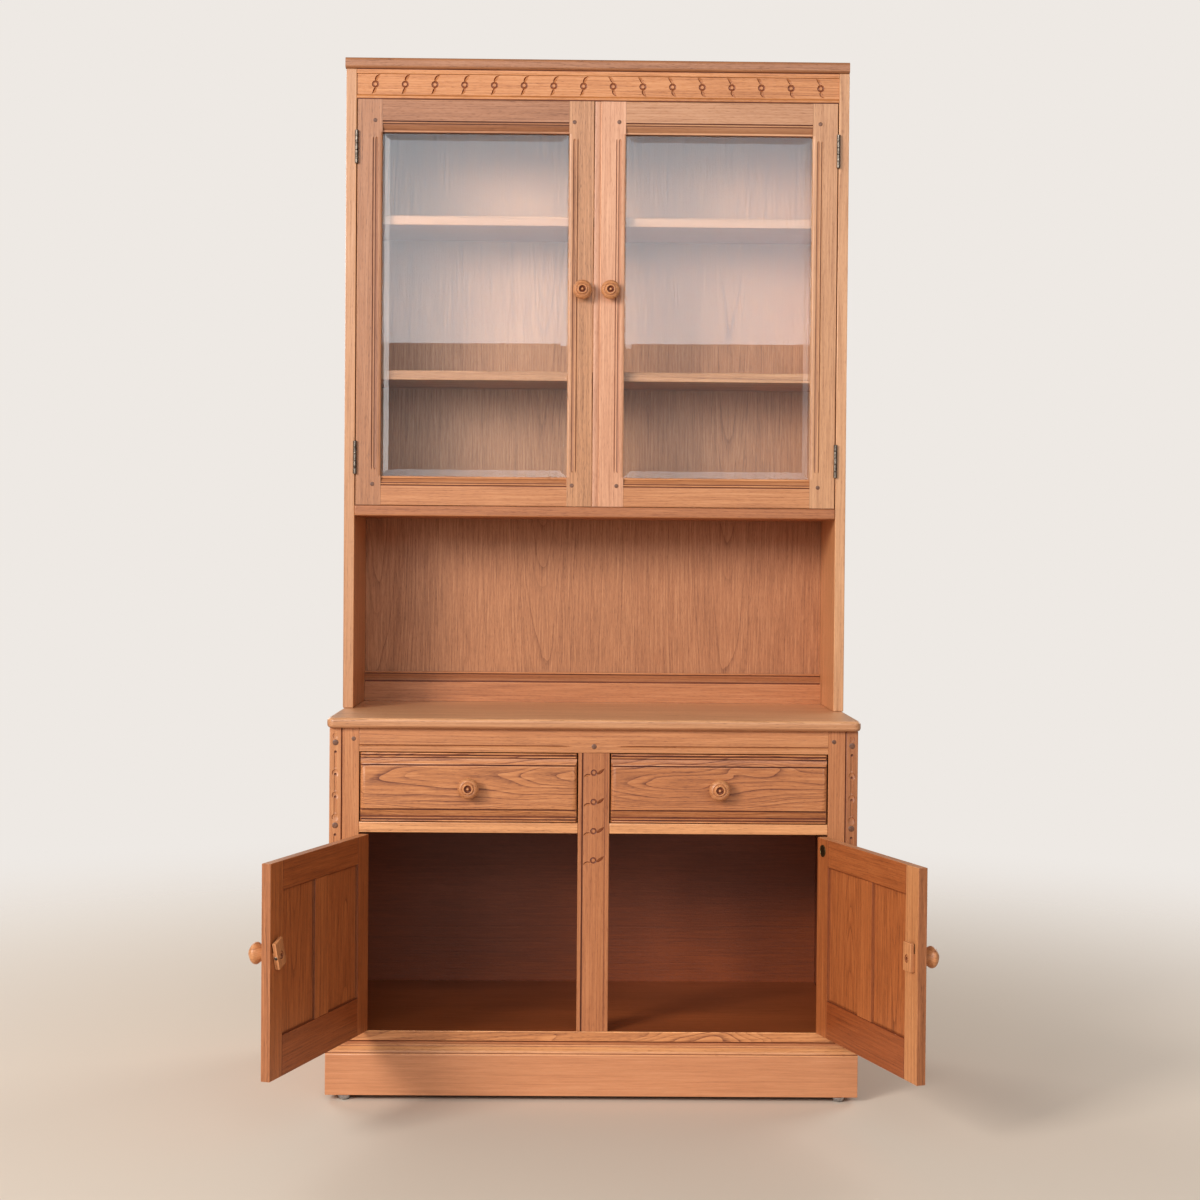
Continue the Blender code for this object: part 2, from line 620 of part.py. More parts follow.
def build_display_carcase(root):
    inner = UPPER_INNER - SEAT
    for hand, side in (("left", -1), ("right", 1)):
        xs = sorted((side * UPPER_INNER, side * UPPER_OUTER))
        board(f"display_side_{hand}", (xs[0], UPPER_FRONT, WORKTOP_TOP + SEAT),
              (xs[1], BASE_DEPTH, CORNICE_Z - SEAT), root, eased=EASED)
    edge = UPPER_OUTER + CORNICE_SIDE_PROUD
    cornice = board("cornice_board", (-edge, UPPER_FRONT - CORNICE_FRONT_PROUD, CORNICE_Z),
                    (edge, BASE_DEPTH + WORKTOP_BACK_OVERHANG, CORNICE_TOP), root)
    ease_edges(cornice, CORNICE_EDGE_R, EASED_SEGMENTS)
    front, sunk = UPPER_FRONT, UPPER_FRONT + FRIEZE_SUNK
    low, high = FRIEZE_Z, CORNICE_Z - SEAT
    moulding("frieze_rail",
             [[(front + FRIEZE_T, low), (front, low), (front, low + FRIEZE_LEDGE),
               (sunk, low + FRIEZE_LEDGE + FRIEZE_SUNK), (sunk, high - FRIEZE_STRIP),
               (front, high - FRIEZE_STRIP), (front, high), (front + FRIEZE_T, high)]],
             -inner, inner, FRONT_AND_UP, root)
    board("recess_shelf", (-inner, UPPER_FRONT - RECESS_SHELF_PROUD, RECESS_SHELF_Z),
          (inner, DISPLAY_BACK_Y - SEAT, DISPLAY_Z), root, eased=EASED)
    for level, z in (("lower", LOWER_SHELF_Z), ("upper", UPPER_SHELF_Z)):
        board(f"display_shelf_{level}", (-inner, UPPER_FRONT + SHELF_SETBACK, z),
              (inner, DISPLAY_BACK_Y - SEAT, z + SHELF_T), root, eased=EASED)
    board("display_back", (-inner, DISPLAY_BACK_Y, WORKTOP_TOP + SEAT),
          (inner, DISPLAY_BACK_Y + DISPLAY_BACK_T, CORNICE_Z - SEAT), root, ELM_INSIDE)
    build_upstand(inner, root)


def build_upstand(inner, root):
    """The moulded board that closes the foot of the recess."""
    back = DISPLAY_BACK_Y - SEAT
    front = back - UPSTAND_T
    low = WORKTOP_TOP + SEAT
    high = low + UPSTAND_H
    bead = high - UPSTAND_BEAD_H
    hollow = bead - UPSTAND_HOLLOW_H
    cove = front + UPSTAND_HOLLOW_DEPTH
    section = [(back, low), (front, low), (front, hollow)]
    section += [(cove, hollow + UPSTAND_QUIRK), (cove - UPSTAND_BEAD_PROUD, bead - UPSTAND_QUIRK)]
    section += [(cove + UPSTAND_BEAD_PROUD, bead), (cove, high - UPSTAND_QUIRK)]
    section += [(cove + UPSTAND_BEAD_PROUD, high), (back, high)]
    moulding("back_upstand", [section], -inner, inner, FRONT_AND_UP, root)


def glazed_stile(name, outer, sight, low, high, bead, swing):
    """A stile from its outer edge to the glass, grooved for the glass behind its arris."""
    inward = 1.0 if sight > outer else -1.0
    face, back = BARREL_OUT, BARREL_OUT + GLAZED_T
    groove_front = face + GLASS_SETBACK
    groove_back = groove_front + GLASS_T + 2 * SEAT
    groove_x = sight - inward * GLASS_GROOVE
    section = [(outer, back), (outer, face)]
    if bead:
        quirk = outer + inward * bead
        section += [(quirk - inward * MEETING_QUIRK / 2, face), (quirk, face + MEETING_QUIRK),
                    (quirk + inward * MEETING_QUIRK / 2, face)]
    section += [(sight - inward * SASH_ARRIS, face), (sight, face + SASH_ARRIS),
                (sight, groove_front), (groove_x, groove_front), (groove_x, groove_back),
                (sight, groove_back), (sight, back)]
    return moulding(name, [section], low, high, ACROSS_AND_BACK, swing)


def glazed_rail(name, outer_z, sight_z, low_x, high_x, swing):
    """A rail with an ovolo that falls to the glass, and the same groove."""
    up = 1.0 if sight_z > outer_z else -1.0
    face, back = BARREL_OUT, BARREL_OUT + GLAZED_T
    groove_front = face + GLASS_SETBACK
    groove_back = groove_front + GLASS_T + 2 * SEAT
    groove_z = sight_z - up * GLASS_GROOVE
    foot = sight_z - up * GLAZED_MOULDING_H
    section = [(back, outer_z), (face, outer_z), (face, foot)]
    fall = GLAZED_MOULDING_DEPTH - GLAZED_FILLET
    run = GLAZED_MOULDING_H - GLAZED_FILLET
    for step in range(OVOLO_STEPS + 1):
        turn = math.pi / 2 * step / OVOLO_STEPS
        section.append((face + GLAZED_FILLET + fall * (1 - math.cos(turn)),
                        foot + up * run * math.sin(turn)))
    section += [(face + GLAZED_MOULDING_DEPTH, sight_z), (groove_front, sight_z),
                (groove_front, groove_z), (groove_back, groove_z), (groove_back, sight_z),
                (back, sight_z)]
    return moulding(name, [section], low_x, high_x, FRONT_AND_UP, swing)


def build_glazed_door(hand, side, free_x, bead, root):
    """Built round its hinge axis, from the hinge stile to the meeting stile."""
    axis_x = side * (UPPER_INNER - HINGE_GAP / 2)
    swing = add_empty(f"glazed_door_{hand}_swing", (axis_x, UPPER_FRONT - BARREL_OUT, 0.0), root)
    inward = -side
    low, high = DISPLAY_Z + FREE_GAP / 2, FRIEZE_Z - FREE_GAP / 2
    hinge_edge = inward * HINGE_GAP / 2
    free_edge = free_x - axis_x
    hinge_sight = hinge_edge + inward * GLAZED_STILE_W
    free_sight = free_edge - inward * (GLAZED_STILE_W + bead)
    glazed_stile(f"glazed_door_{hand}_hinge_stile", hinge_edge, hinge_sight, low, high, 0.0, swing)
    glazed_stile(f"glazed_door_{hand}_meeting_stile", free_edge, free_sight, low, high, bead, swing)
    rail_x = sorted((hinge_sight, free_sight))
    sight_low, sight_high = low + GLAZED_BOTTOM_RAIL_H, high - GLAZED_TOP_RAIL_H
    glazed_rail(f"glazed_door_{hand}_top_rail", high, sight_high,
                rail_x[0] + SEAT, rail_x[1] - SEAT, swing)
    glazed_rail(f"glazed_door_{hand}_bottom_rail", low, sight_low,
                rail_x[0] + SEAT, rail_x[1] - SEAT, swing)
    glass_front = BARREL_OUT + GLASS_SETBACK + SEAT
    reach = GLASS_GROOVE - SEAT
    board(f"glazed_door_{hand}_glass",
          (rail_x[0] - reach, glass_front, sight_low - reach),
          (rail_x[1] + reach, glass_front + GLASS_T, sight_high + reach), swing, CLEAR_GLASS)
    knob_x = free_edge - inward * (bead + GLAZED_KNOB_INSET)
    turned(f"glazed_door_{hand}_knob", knob_profile(KNOB_R), KNOB_STEPS,
           (knob_x, BARREL_OUT - SEAT, DISPLAY_Z + GLAZED_KNOB_HEIGHT), swing)
    for level, hinge_z in (("bottom", low + GLAZED_HINGE_BOTTOM_INSET),
                           ("top", high - GLAZED_HINGE_TOP_INSET - HINGE_LENGTH)):
        hinge(f"glazed_hinge_{hand}_{level}", hinge_z, BARREL_OUT, swing)


def centre_over_floor(root):
    """Move the whole dresser so that the origin is under the middle of its depth."""
    graph = bpy.context.evaluated_depsgraph_get()
    ys = []
    for obj in PARTS.objects:
        evaluated = obj.evaluated_get(graph)
        for vertex in evaluated.data.vertices:
            ys.append((evaluated.matrix_world @ vertex.co).y)
    root.location.y = -(min(ys) + max(ys)) / 2


def build():
    root = add_empty("dresser_root")
    build_glides(root)
    build_plinth(root)
    build_base_carcase(root)
    build_worktop(root)
    for hand, side in (("left", -1), ("right", 1)):
        build_drawer(hand, side, root)
    build_cupboard_door("left", -1, LEFT_BUTTON_TILT_DEG, root)
    build_cupboard_door("right", 1, RIGHT_BUTTON_TILT_DEG, root)
    build_display_carcase(root)
    build_glazed_door("left", -1, MEETING_X - MEETING_GAP / 2, 0.0, root)
    build_glazed_door("right", 1, MEETING_X + MEETING_GAP / 2, MEETING_BEAD_W, root)
    centre_over_floor(root)


build()
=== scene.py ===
"""Looks of the kitchen dresser: waxed elm boards, mouldings, carving, knobs, hinges and glass.

Metres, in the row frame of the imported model: +Z up, the front faces -Y, +X is to the right.
"""

import math
import random

import bmesh
import bpy
import numpy as np
from mathutils import Matrix, Vector


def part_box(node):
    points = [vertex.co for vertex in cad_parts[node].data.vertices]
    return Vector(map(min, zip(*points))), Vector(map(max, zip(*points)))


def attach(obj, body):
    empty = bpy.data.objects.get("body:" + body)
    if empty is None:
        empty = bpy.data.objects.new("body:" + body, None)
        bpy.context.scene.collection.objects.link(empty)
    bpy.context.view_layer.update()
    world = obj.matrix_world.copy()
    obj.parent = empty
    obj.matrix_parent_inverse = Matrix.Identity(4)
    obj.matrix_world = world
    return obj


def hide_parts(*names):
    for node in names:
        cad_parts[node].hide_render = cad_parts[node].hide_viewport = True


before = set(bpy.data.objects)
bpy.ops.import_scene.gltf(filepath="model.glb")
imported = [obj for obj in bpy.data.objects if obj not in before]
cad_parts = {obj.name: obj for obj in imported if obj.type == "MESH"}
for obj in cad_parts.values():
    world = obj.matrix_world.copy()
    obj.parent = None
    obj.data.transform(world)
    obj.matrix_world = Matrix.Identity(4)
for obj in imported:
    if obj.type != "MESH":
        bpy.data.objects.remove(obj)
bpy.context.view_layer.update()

MM = 0.001
AXES = "XYZ"
DOWN_CUT = 0.002
EASE = 0.0009

# Lines that several pieces share
FRAME_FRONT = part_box("base_muntin")[0].y
GLAZED_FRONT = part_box("glazed_door_left_glass")[0].y - 0.0118
GLAZED_BACK = GLAZED_FRONT + 0.022
PANE_SLOT_FRONT, PANE_SLOT_BACK = GLAZED_FRONT + 0.0115, GLAZED_FRONT + 0.0161
PANE_BED = 0.006
BARREL_PROUD = 0.0038
DOOR_OPEN = math.radians(108.0)
DOOR_AXIS_Y = FRAME_FRONT - BARREL_PROUD
DOOR_AXIS_X = 0.4261
DOOR_FACE = FRAME_FRONT
DOOR_THICK = 0.016
DOOR_INSIDE = DOOR_FACE + DOOR_THICK
HINGE_LEAF = 0.015
GLAZED_AXIS = (0.4621, GLAZED_FRONT - BARREL_PROUD)
KNOB_R, KNOB_H = 0.0185, 0.032
TOP_RAIL_GROOVE_Z = 0.6455

# Painted shade for carving, quirks and gaps, and a painted highlight for an arris that catches the
# light
PAINTED_SHADE = 0.85
PAINTED_HIGHLIGHT = -0.25

# How far a tone and the painted shading move each channel of a wood
WHITE = (1.0, 1.0, 1.0)
TONE_REACH = (0.9, 1.3, 1.5)
SHADING_REACH = (-0.64, -0.82, -0.92)
GRAIN_RELIEF = 0.35
WEAR = 0.25


# Node work for the finishes

def feed(tree, socket, value):
    if isinstance(value, bpy.types.NodeSocket):
        tree.links.new(value, socket)
    else:
        socket.default_value = value


def add(tree, kind, feeds=None, **settings):
    made = tree.nodes.new(kind)
    for name, value in settings.items():
        setattr(made, name, value)
    for name, value in (feeds or {}).items():
        feed(tree, made.inputs[name], value)
    return made


def calc(tree, operation, first, second=None, third=None, clamp=False):
    made = add(tree, "ShaderNodeMath", operation=operation, use_clamp=clamp)
    for socket, value in zip(made.inputs, (first, second, third)):
        if value is not None:
            feed(tree, socket, value)
    return made.outputs[0]


def vector_calc(tree, operation, *values):
    made = add(tree, "ShaderNodeVectorMath", dict(enumerate(values)), operation=operation)
    return made.outputs[0]


def noise(tree, vector, scale, detail=2.0, roughness=0.5):
    made = add(tree, "ShaderNodeTexNoise",
               {"Vector": vector_calc(tree, "MULTIPLY", vector, scale), "Scale": 1.0,
                "Detail": detail, "Roughness": roughness})
    return made.outputs["Fac"]


def between(tree, value, low, high, to_low=0.0, to_high=1.0):
    made = add(tree, "ShaderNodeMapRange",
               {"Value": value, "From Min": low, "From Max": high, "To Min": to_low,
                "To Max": to_high})
    return made.outputs["Result"]


def ramp(tree, value, stops):
    made = add(tree, "ShaderNodeValToRGB", {"Fac": value})
    elements = made.color_ramp.elements
    while len(elements) < len(stops):
        elements.new(0.5)
    for element, (place, colour) in zip(elements, stops):
        element.position = place
        element.color = (*colour, 1.0)
    return made.outputs["Color"]


def attribute(tree, name, output="Fac"):
    return add(tree, "ShaderNodeAttribute", attribute_name=name).outputs[output]


def srgb(*channels):
    """A colour given as it looks on a screen, 0 to 255."""
    return tuple(
        value / 255 / 12.92 if value <= 10 else ((value / 255 + 0.055) / 1.055) ** 2.4
        for value in channels)


def new_finish(name):
    finish = bpy.data.materials.new(name)
    finish.use_nodes = True
    tree = finish.node_tree
    return finish, tree, tree.nodes["Principled BSDF"]


def raise_surface(tree, shader, strength, distance, height):
    relief = add(tree, "ShaderNodeBump",
                 {"Strength": strength, "Distance": distance, "Height": height})
    tree.links.new(relief.outputs["Normal"], shader.inputs["Normal"])


def blend(tree, share, first, second, output="Material Output"):
    """Mix two shaders by a share, and show the result."""
    both = add(tree, "ShaderNodeMixShader",
               {0: share, 1: first.outputs[0], 2: second.outputs[0]})
    tree.links.new(both.outputs[0], tree.nodes[output].inputs["Surface"])


def wood(name, pale, body, dark, pitch=0.0042, drift=0.006, line=0.42, fibre=1.0, pores=0.35,
         roughness=(0.36, 0.52), blotches=0.16, coat=0.12, run=3.1, streak=(7.0, 240.0)):
    """Wood whose rings, fibres and pores run through the board along its own grain.

    A painted shading from 0 to 1 darkens carving and joints as painted shade, and below 0 it
    lights an arris as a painted highlight.
    A tone below 0 makes a board deeper and warmer, and above 0 paler and drier.
    """
    finish, tree, shader = new_finish(name)
    grain = attribute(tree, "grain", "Vector")
    tone = attribute(tree, "tone", "Vector")
    worn = attribute(tree, "worn")
    stain = attribute(tree, "stain")
    split = add(tree, "ShaderNodeSeparateXYZ", {0: grain})
    across, through = split.outputs[1], split.outputs[2]
    radius = calc(tree, "SQRT", calc(tree, "ADD", calc(tree, "MULTIPLY", across, across),
                                     calc(tree, "MULTIPLY", through, through)))
    slow = noise(tree, grain, (run, 15.0, 15.0), 1.5)
    quick = noise(tree, grain, (13.0, 55.0, 55.0), 1.0)
    radius = calc(tree, "MULTIPLY_ADD", slow, 2 * drift, radius)
    radius = calc(tree, "MULTIPLY_ADD", quick, 0.0016, radius)
    ring_number = calc(tree, "DIVIDE", radius, pitch)
    spacing = add(tree, "ShaderNodeTexNoise", {"W": ring_number, "Scale": 0.41, "Detail": 1.0},
                  noise_dimensions="1D").outputs["Fac"]
    ring_number = calc(tree, "MULTIPLY_ADD", spacing, 3.2, ring_number)
    late = calc(tree, "FRACT", ring_number)
    early = calc(tree, "POWER", calc(tree, "SUBTRACT", 1.0, late), 4.0)
    year = calc(tree, "FLOOR", ring_number)
    strength = add(tree, "ShaderNodeTexWhiteNoise", {"W": year},
                   noise_dimensions="1D").outputs["Value"]
    early = calc(tree, "MULTIPLY", early, between(tree, strength, 0.0, 1.0, 0.35, 1.0))
    fibres = noise(tree, grain, (streak[0], streak[1], streak[1]), 3.0, 0.62)
    hairs = noise(tree, grain, (34.0, 1300.0, 1300.0), 2.0, 0.6)
    dashes = between(tree, noise(tree, grain, (95.0, 1150.0, 1150.0), 0.0), 0.60, 0.72)
    dashes = calc(tree, "MULTIPLY", dashes, between(tree, early, 0.0, 0.6, 0.45, 1.0))
    shade = calc(tree, "MULTIPLY_ADD", calc(tree, "SUBTRACT", fibres, 0.5), fibre, 0.36)
    shade = calc(tree, "MULTIPLY_ADD", calc(tree, "SUBTRACT", hairs, 0.5), 0.5 * fibre, shade)
    shade = calc(tree, "MULTIPLY_ADD", early, line, shade)
    shade = calc(tree, "MULTIPLY_ADD", dashes, pores, shade)
    blotch = noise(tree, grain, (1.7, 7.0, 7.0), 1.0)
    shade = calc(tree, "MULTIPLY_ADD", calc(tree, "SUBTRACT", blotch, 0.5), blotches * 2, shade)
    rubbed = calc(tree, "MULTIPLY", worn, between(tree, fibres, 0.35, 0.6, 0.3, 1.0))
    shade = calc(tree, "MULTIPLY_ADD", rubbed, -WEAR, shade, clamp=True)
    colour = ramp(tree, shade, ((0.0, pale), (0.38, body), (1.0, dark)))
    level = vector_calc(tree, "MULTIPLY_ADD", tone, TONE_REACH, WHITE)
    colour = vector_calc(tree, "MULTIPLY", colour, level)
    # Painted shade and painted highlight: the painted shading darkens or lightens the colour
    shares = add(tree, "ShaderNodeCombineXYZ", {0: stain, 1: stain, 2: stain}).outputs[0]
    veil = vector_calc(tree, "MULTIPLY_ADD", shares, SHADING_REACH, WHITE)
    colour = vector_calc(tree, "MULTIPLY", colour, veil)
    tree.links.new(colour, shader.inputs["Base Color"])
    sheen = between(tree, shade, 0.1, 0.9, *roughness)
    sheen = calc(tree, "MULTIPLY_ADD", stain, 0.12, sheen)
    tree.links.new(sheen, shader.inputs["Roughness"])
    height = calc(tree, "MULTIPLY", early, -0.5)
    height = calc(tree, "MULTIPLY_ADD", dashes, -0.8, height)
    height = calc(tree, "MULTIPLY_ADD", fibres, 0.8, height)
    raise_surface(tree, shader, GRAIN_RELIEF, 0.0005, height)
    shader.inputs["Coat Weight"].default_value = coat
    shader.inputs["Coat Roughness"].default_value = 0.32
    return finish


def metal(name, bright, dull, roughness, mottle):
    finish, tree, shader = new_finish(name)
    place = add(tree, "ShaderNodeTexCoord").outputs["Object"]
    patches = noise(tree, place, (mottle,) * 3, 4.0, 0.6)
    grit = noise(tree, place, (2600.0,) * 3, 2.0)
    value = calc(tree, "MULTIPLY_ADD", grit, 0.2, patches)
    value = calc(tree, "SUBTRACT", value, 0.1, clamp=True)
    tree.links.new(ramp(tree, value, ((0.3, dull), (0.7, bright))), shader.inputs["Base Color"])
    tree.links.new(between(tree, value, 0.3, 0.7, roughness + 0.18, roughness),
                   shader.inputs["Roughness"])
    raise_surface(tree, shader, 0.25, 0.0002, value)
    shader.inputs["Metallic"].default_value = 1.0
    return finish


def clear_glass(name):
    finish, tree, shader = new_finish(name)
    shader.inputs["Base Color"].default_value = (0.85, 0.905, 0.93, 1.0)
    shader.inputs["Transmission Weight"].default_value = 1.0
    shader.inputs["IOR"].default_value = 1.5
    place = add(tree, "ShaderNodeTexCoord").outputs["Object"]
    smear = noise(tree, place, (5.0, 5.0, 9.0), 4.0, 0.55)
    tree.links.new(between(tree, smear, 0.35, 0.75, 0.0, 0.012), shader.inputs["Roughness"])
    through = add(tree, "ShaderNodeBsdfTransparent", {"Color": (0.84, 0.88, 0.91, 1.0)})
    lamp_ray = add(tree, "ShaderNodeLightPath").outputs["Is Shadow Ray"]
    blend(tree, lamp_ray, shader, through)
    return finish


WAXED = wood("waxed_elm_golden", srgb(220, 158, 109), srgb(200, 134, 85), srgb(140, 80, 42))
WAXED_FIGURED = wood("waxed_elm_figured", srgb(224, 160, 108), srgb(199, 130, 79),
                     srgb(112, 54, 24), pitch=0.0058, drift=0.030, line=0.72, run=3.6)
WAXED_BROWN = wood("waxed_elm_browner", srgb(200, 144, 104), srgb(178, 120, 80),
                   srgb(110, 66, 38), line=0.36, fibre=0.9, pores=0.4)
WAXED_PALE = wood("waxed_elm_pale", srgb(240, 188, 150), srgb(224, 166, 128),
                  srgb(168, 108, 70), line=0.30)
WAXED_LIGHT = wood("waxed_elm_lighter", srgb(214, 160, 118), srgb(196, 140, 98),
                   srgb(146, 92, 58), line=0.32)
# Painted shade for the free edges of the lower doors, which get a darker colour; the rougher
# surface without a coat is real.
SHADED_DOOR_EDGE = wood("shaded_door_edge", srgb(187, 119, 75), srgb(159, 95, 54), srgb(108, 60, 32),
                   line=0.34, fibre=1.2, roughness=(0.62, 0.76), coat=0.0)
WAXED_AMBER = wood("waxed_elm_amber", srgb(226, 158, 100), srgb(206, 134, 76),
                   srgb(140, 78, 38), line=0.45)
WAXED_PLAIN = wood("waxed_elm_plain", srgb(220, 158, 116), srgb(204, 138, 94),
                   srgb(160, 98, 62), pitch=0.0035, line=0.20, fibre=0.8, pores=0.12)
# The worktop's paler, greyer colour is a painted sheen, as the top looks at a grazing view; its
# wax coat is real.
WORKTOP_WAX_SHEEN = wood("worktop_wax_and_sheen", srgb(226, 172, 129), srgb(206, 146, 101), srgb(152, 98, 60),
                   coat=0.25, roughness=(0.32, 0.46))
DOOR_INSIDE_WOOD = wood("varnished_door_inside", srgb(202, 124, 70), srgb(174, 98, 52),
                        srgb(104, 50, 22), line=0.40, roughness=(0.30, 0.42), coat=0.2)
INSIDE = wood("inside_elm", srgb(205, 146, 102), srgb(181, 120, 78), srgb(126, 74, 43),
              line=0.40, fibre=1.15, roughness=(0.42, 0.55), coat=0.06, streak=(2.2, 330.0))
STAINED = wood("stained_ply", srgb(160, 78, 34), srgb(126, 58, 22), srgb(78, 32, 12), line=0.14,
               fibre=0.5, pores=0.18, blotches=0.34, roughness=(0.40, 0.55), coat=0.05)
PEG_WOOD = wood("peg_end_grain", srgb(152, 104, 76), srgb(110, 70, 48), srgb(62, 36, 24),
                pitch=0.0016, drift=0.001, line=0.3)
RAW_WOOD = wood("drawer_side_wood", srgb(226, 188, 142), srgb(206, 164, 118),
                srgb(160, 116, 76), line=0.28, roughness=(0.5, 0.62), coat=0.0)
HINGE_METAL = metal("dark_hinge_metal", srgb(136, 124, 112), srgb(60, 51, 45), 0.28, 160.0)
GLIDE_METAL = metal("glide_steel", srgb(206, 206, 208), srgb(150, 150, 154), 0.22, 220.0)
BRONZE = metal("dark_bronze", srgb(120, 100, 66), srgb(66, 54, 36), 0.38, 260.0)
GLASS = clear_glass("clear_glass")


# Mesh work

def show(name, mesh, finish=None):
    obj = bpy.data.objects.new(name, mesh)
    bpy.context.scene.collection.objects.link(obj)
    if finish:
        mesh.materials.append(finish)
    return obj


def solid(name, shape, finish=None):
    bmesh.ops.recalc_face_normals(shape, faces=shape.faces)
    mesh = bpy.data.meshes.new(name)
    shape.to_mesh(mesh)
    shape.free()
    return show(name, mesh, finish)


def shade_edges(obj, limit=38.0, flats=True):
    """Round work is smooth, and faces that lie square to the board stay flat."""
    mesh = obj.data
    mesh.shade_smooth()
    mesh.set_sharp_from_angle(angle=math.radians(limit))
    if flats:
        for face in mesh.polygons:
            if max(abs(value) for value in face.normal) > 0.9998:
                face.use_smooth = False


def keep_result(obj):
    """Leave what an object's modifiers make as its plain mesh."""
    graph = bpy.context.evaluated_depsgraph_get()
    mesh = bpy.data.meshes.new_from_object(obj.evaluated_get(graph))
    obj.modifiers.clear()
    obj.data = mesh
    return obj


def bevelled(obj, width, segments, angle):
    """Round the edges that turn by more than an angle, in degrees."""
    ease = obj.modifiers.new("eased", "BEVEL")
    ease.width = width
    ease.segments = segments
    ease.limit_method = "ANGLE"
    ease.angle_limit = math.radians(angle)
    return keep_result(obj)


def discard(*objects):
    for obj in objects:
        bpy.data.objects.remove(obj, do_unlink=True)


def plank(low, high, finish=None, ease=EASE, segments=2):
    """A board between its lowest and highest corners, with its arrises eased."""
    low, high = Vector(low), Vector(high)
    shape = bmesh.new()
    middle = Matrix.Translation((low + high) / 2)
    bmesh.ops.create_cube(shape, size=1.0, matrix=middle @ Matrix.Diagonal((*(high - low), 1.0)))
    if ease:
        bmesh.ops.bevel(shape, geom=list(shape.edges), offset=ease, segments=segments,
                        profile=0.5, affect="EDGES", clamp_overlap=True)
    shape.faces.layers.float.new("stain")
    obj = solid("plank", shape, finish)
    shade_edges(obj)
    return obj


def at(axis, first, second, along):
    """A point of a section, placed along its moulding."""
    if axis == "X":
        return Vector((along, first, second))
    if axis == "Y":
        return Vector((first, along, second))
    return Vector((first, second, along))


def points_and_shading(section, stain=0.0):
    """A third value of a point gives the painted shading of the face that follows it: shade above
    0, a highlight below.
    """
    return ([point[:2] for point in section],
            [point[2] if len(point) > 2 else stain for point in section])


def flipped(section):
    """The same points the other way round, with each painted shading kept on its own face."""
    points, painted_shadings = points_and_shading(section)
    painted_shadings = painted_shadings[-2::-1] + [0.0]
    return [(*point, stain) for point, stain in zip(reversed(points), painted_shadings)]


def moulding(section, start, end, axis, finish=None, mitre=None):
    """A length of one section. A mitre moves a point of an end by its own share."""
    points, painted_shadings = points_and_shading(section)
    shape = bmesh.new()
    layer = shape.faces.layers.float.new("stain")
    ends = []
    for sign, along in ((-1, start), (1, end)):
        ring = []
        for first, second in points:
            shift = mitre(sign, first, second) if mitre else 0.0
            ring.append(shape.verts.new(at(axis, first, second, along + shift)))
        ends.append(ring)
    count = len(points)
    shape.faces.new(ends[0])
    shape.faces.new(list(reversed(ends[1])))
    for i in range(count):
        j = (i + 1) % count
        face = shape.faces.new((ends[0][i], ends[0][j], ends[1][j], ends[1][i]))
        face[layer] = painted_shadings[i]
    obj = solid("moulding", shape, finish)
    shade_edges(obj)
    return obj


def arc(centre, radius, start, end, steps=6):
    """Points on a round stretch, in degrees; radius may be a pair for an ellipse."""
    wide, tall = radius if isinstance(radius, tuple) else (radius, radius)
    points = []
    for step in range(steps + 1):
        angle = math.radians(start + (end - start) * step / steps)
        points.append((centre[0] + wide * math.cos(angle), centre[1] + tall * math.sin(angle)))
    return points


def turned(profile, steps, foot, up, finish=None, stain=0.0):
    """Lathe work: radius and height from the foot, closed at both ends."""
    points, painted_shadings = points_and_shading(profile, stain)
    shape = bmesh.new()
    layer = shape.faces.layers.float.new("stain")
    rings = []
    for radius, height in points:
        if radius == 0:
            rings.append([shape.verts.new((0.0, 0.0, height))])
            continue
        rings.append([
            shape.verts.new((radius * math.cos(math.tau * i / steps),
                             radius * math.sin(math.tau * i / steps), height))
            for i in range(steps)])
    for number, (lower, upper) in enumerate(zip(rings, rings[1:])):
        for i in range(steps):
            j = (i + 1) % steps
            corners = [lower[i % len(lower)], lower[j % len(lower)],
                       upper[j % len(upper)], upper[i % len(upper)]]
            unique = list(dict.fromkeys(corners))
            if len(unique) > 2:
                shape.faces.new(unique)[layer] = painted_shadings[number]
    turn = Vector(up).to_track_quat("Z", "Y").to_matrix().to_4x4()
    bmesh.ops.transform(shape, matrix=Matrix.Translation(foot) @ turn, verts=shape.verts)
    obj = solid("turned", shape, finish)
    shade_edges(obj, 42.0, flats=False)
    return obj


# Sections of the gouges: share of the half width, share of the depth, and painted shading, dark on
# the wall away from the light and lit on the other
REED = ((-1.0, 0.0, 1.0), (-0.35, 1.0, 0.7), (0.35, 1.0, -0.2), (1.0, 0.0))
DISH = ((-1.0, 0.0, 0.1), (-0.78, 0.60, -0.1), (-0.38, 0.94, -0.1), (0.38, 0.94, -0.1),
        (0.78, 0.60, 0.0), (1.0, 0.0))
HOLLOW = ((-1.0, 0.0, 0.9), (-0.72, 1.0, 0.42), (0.0, 1.1, 0.34), (0.72, 1.0, -0.15), (1.0, 0.0))
LEAF = ((-1.0, 0.0, 1.0), (-0.35, 1.0, 0.38), (1.0, 0.0))
LEAF_BACK = ((-1.0, 0.0, 0.38), (0.35, 1.0, 1.0), (1.0, 0.0))
CHIP = ((-1.0, 0.0, 1.0), (-0.15, 1.0, -0.12), (1.0, 0.0))
SLOT = ((-1.0, 0.0, 1.0), (-0.80, 1.0, 0.35), (0.80, 1.0, -0.2), (1.0, 0.0))


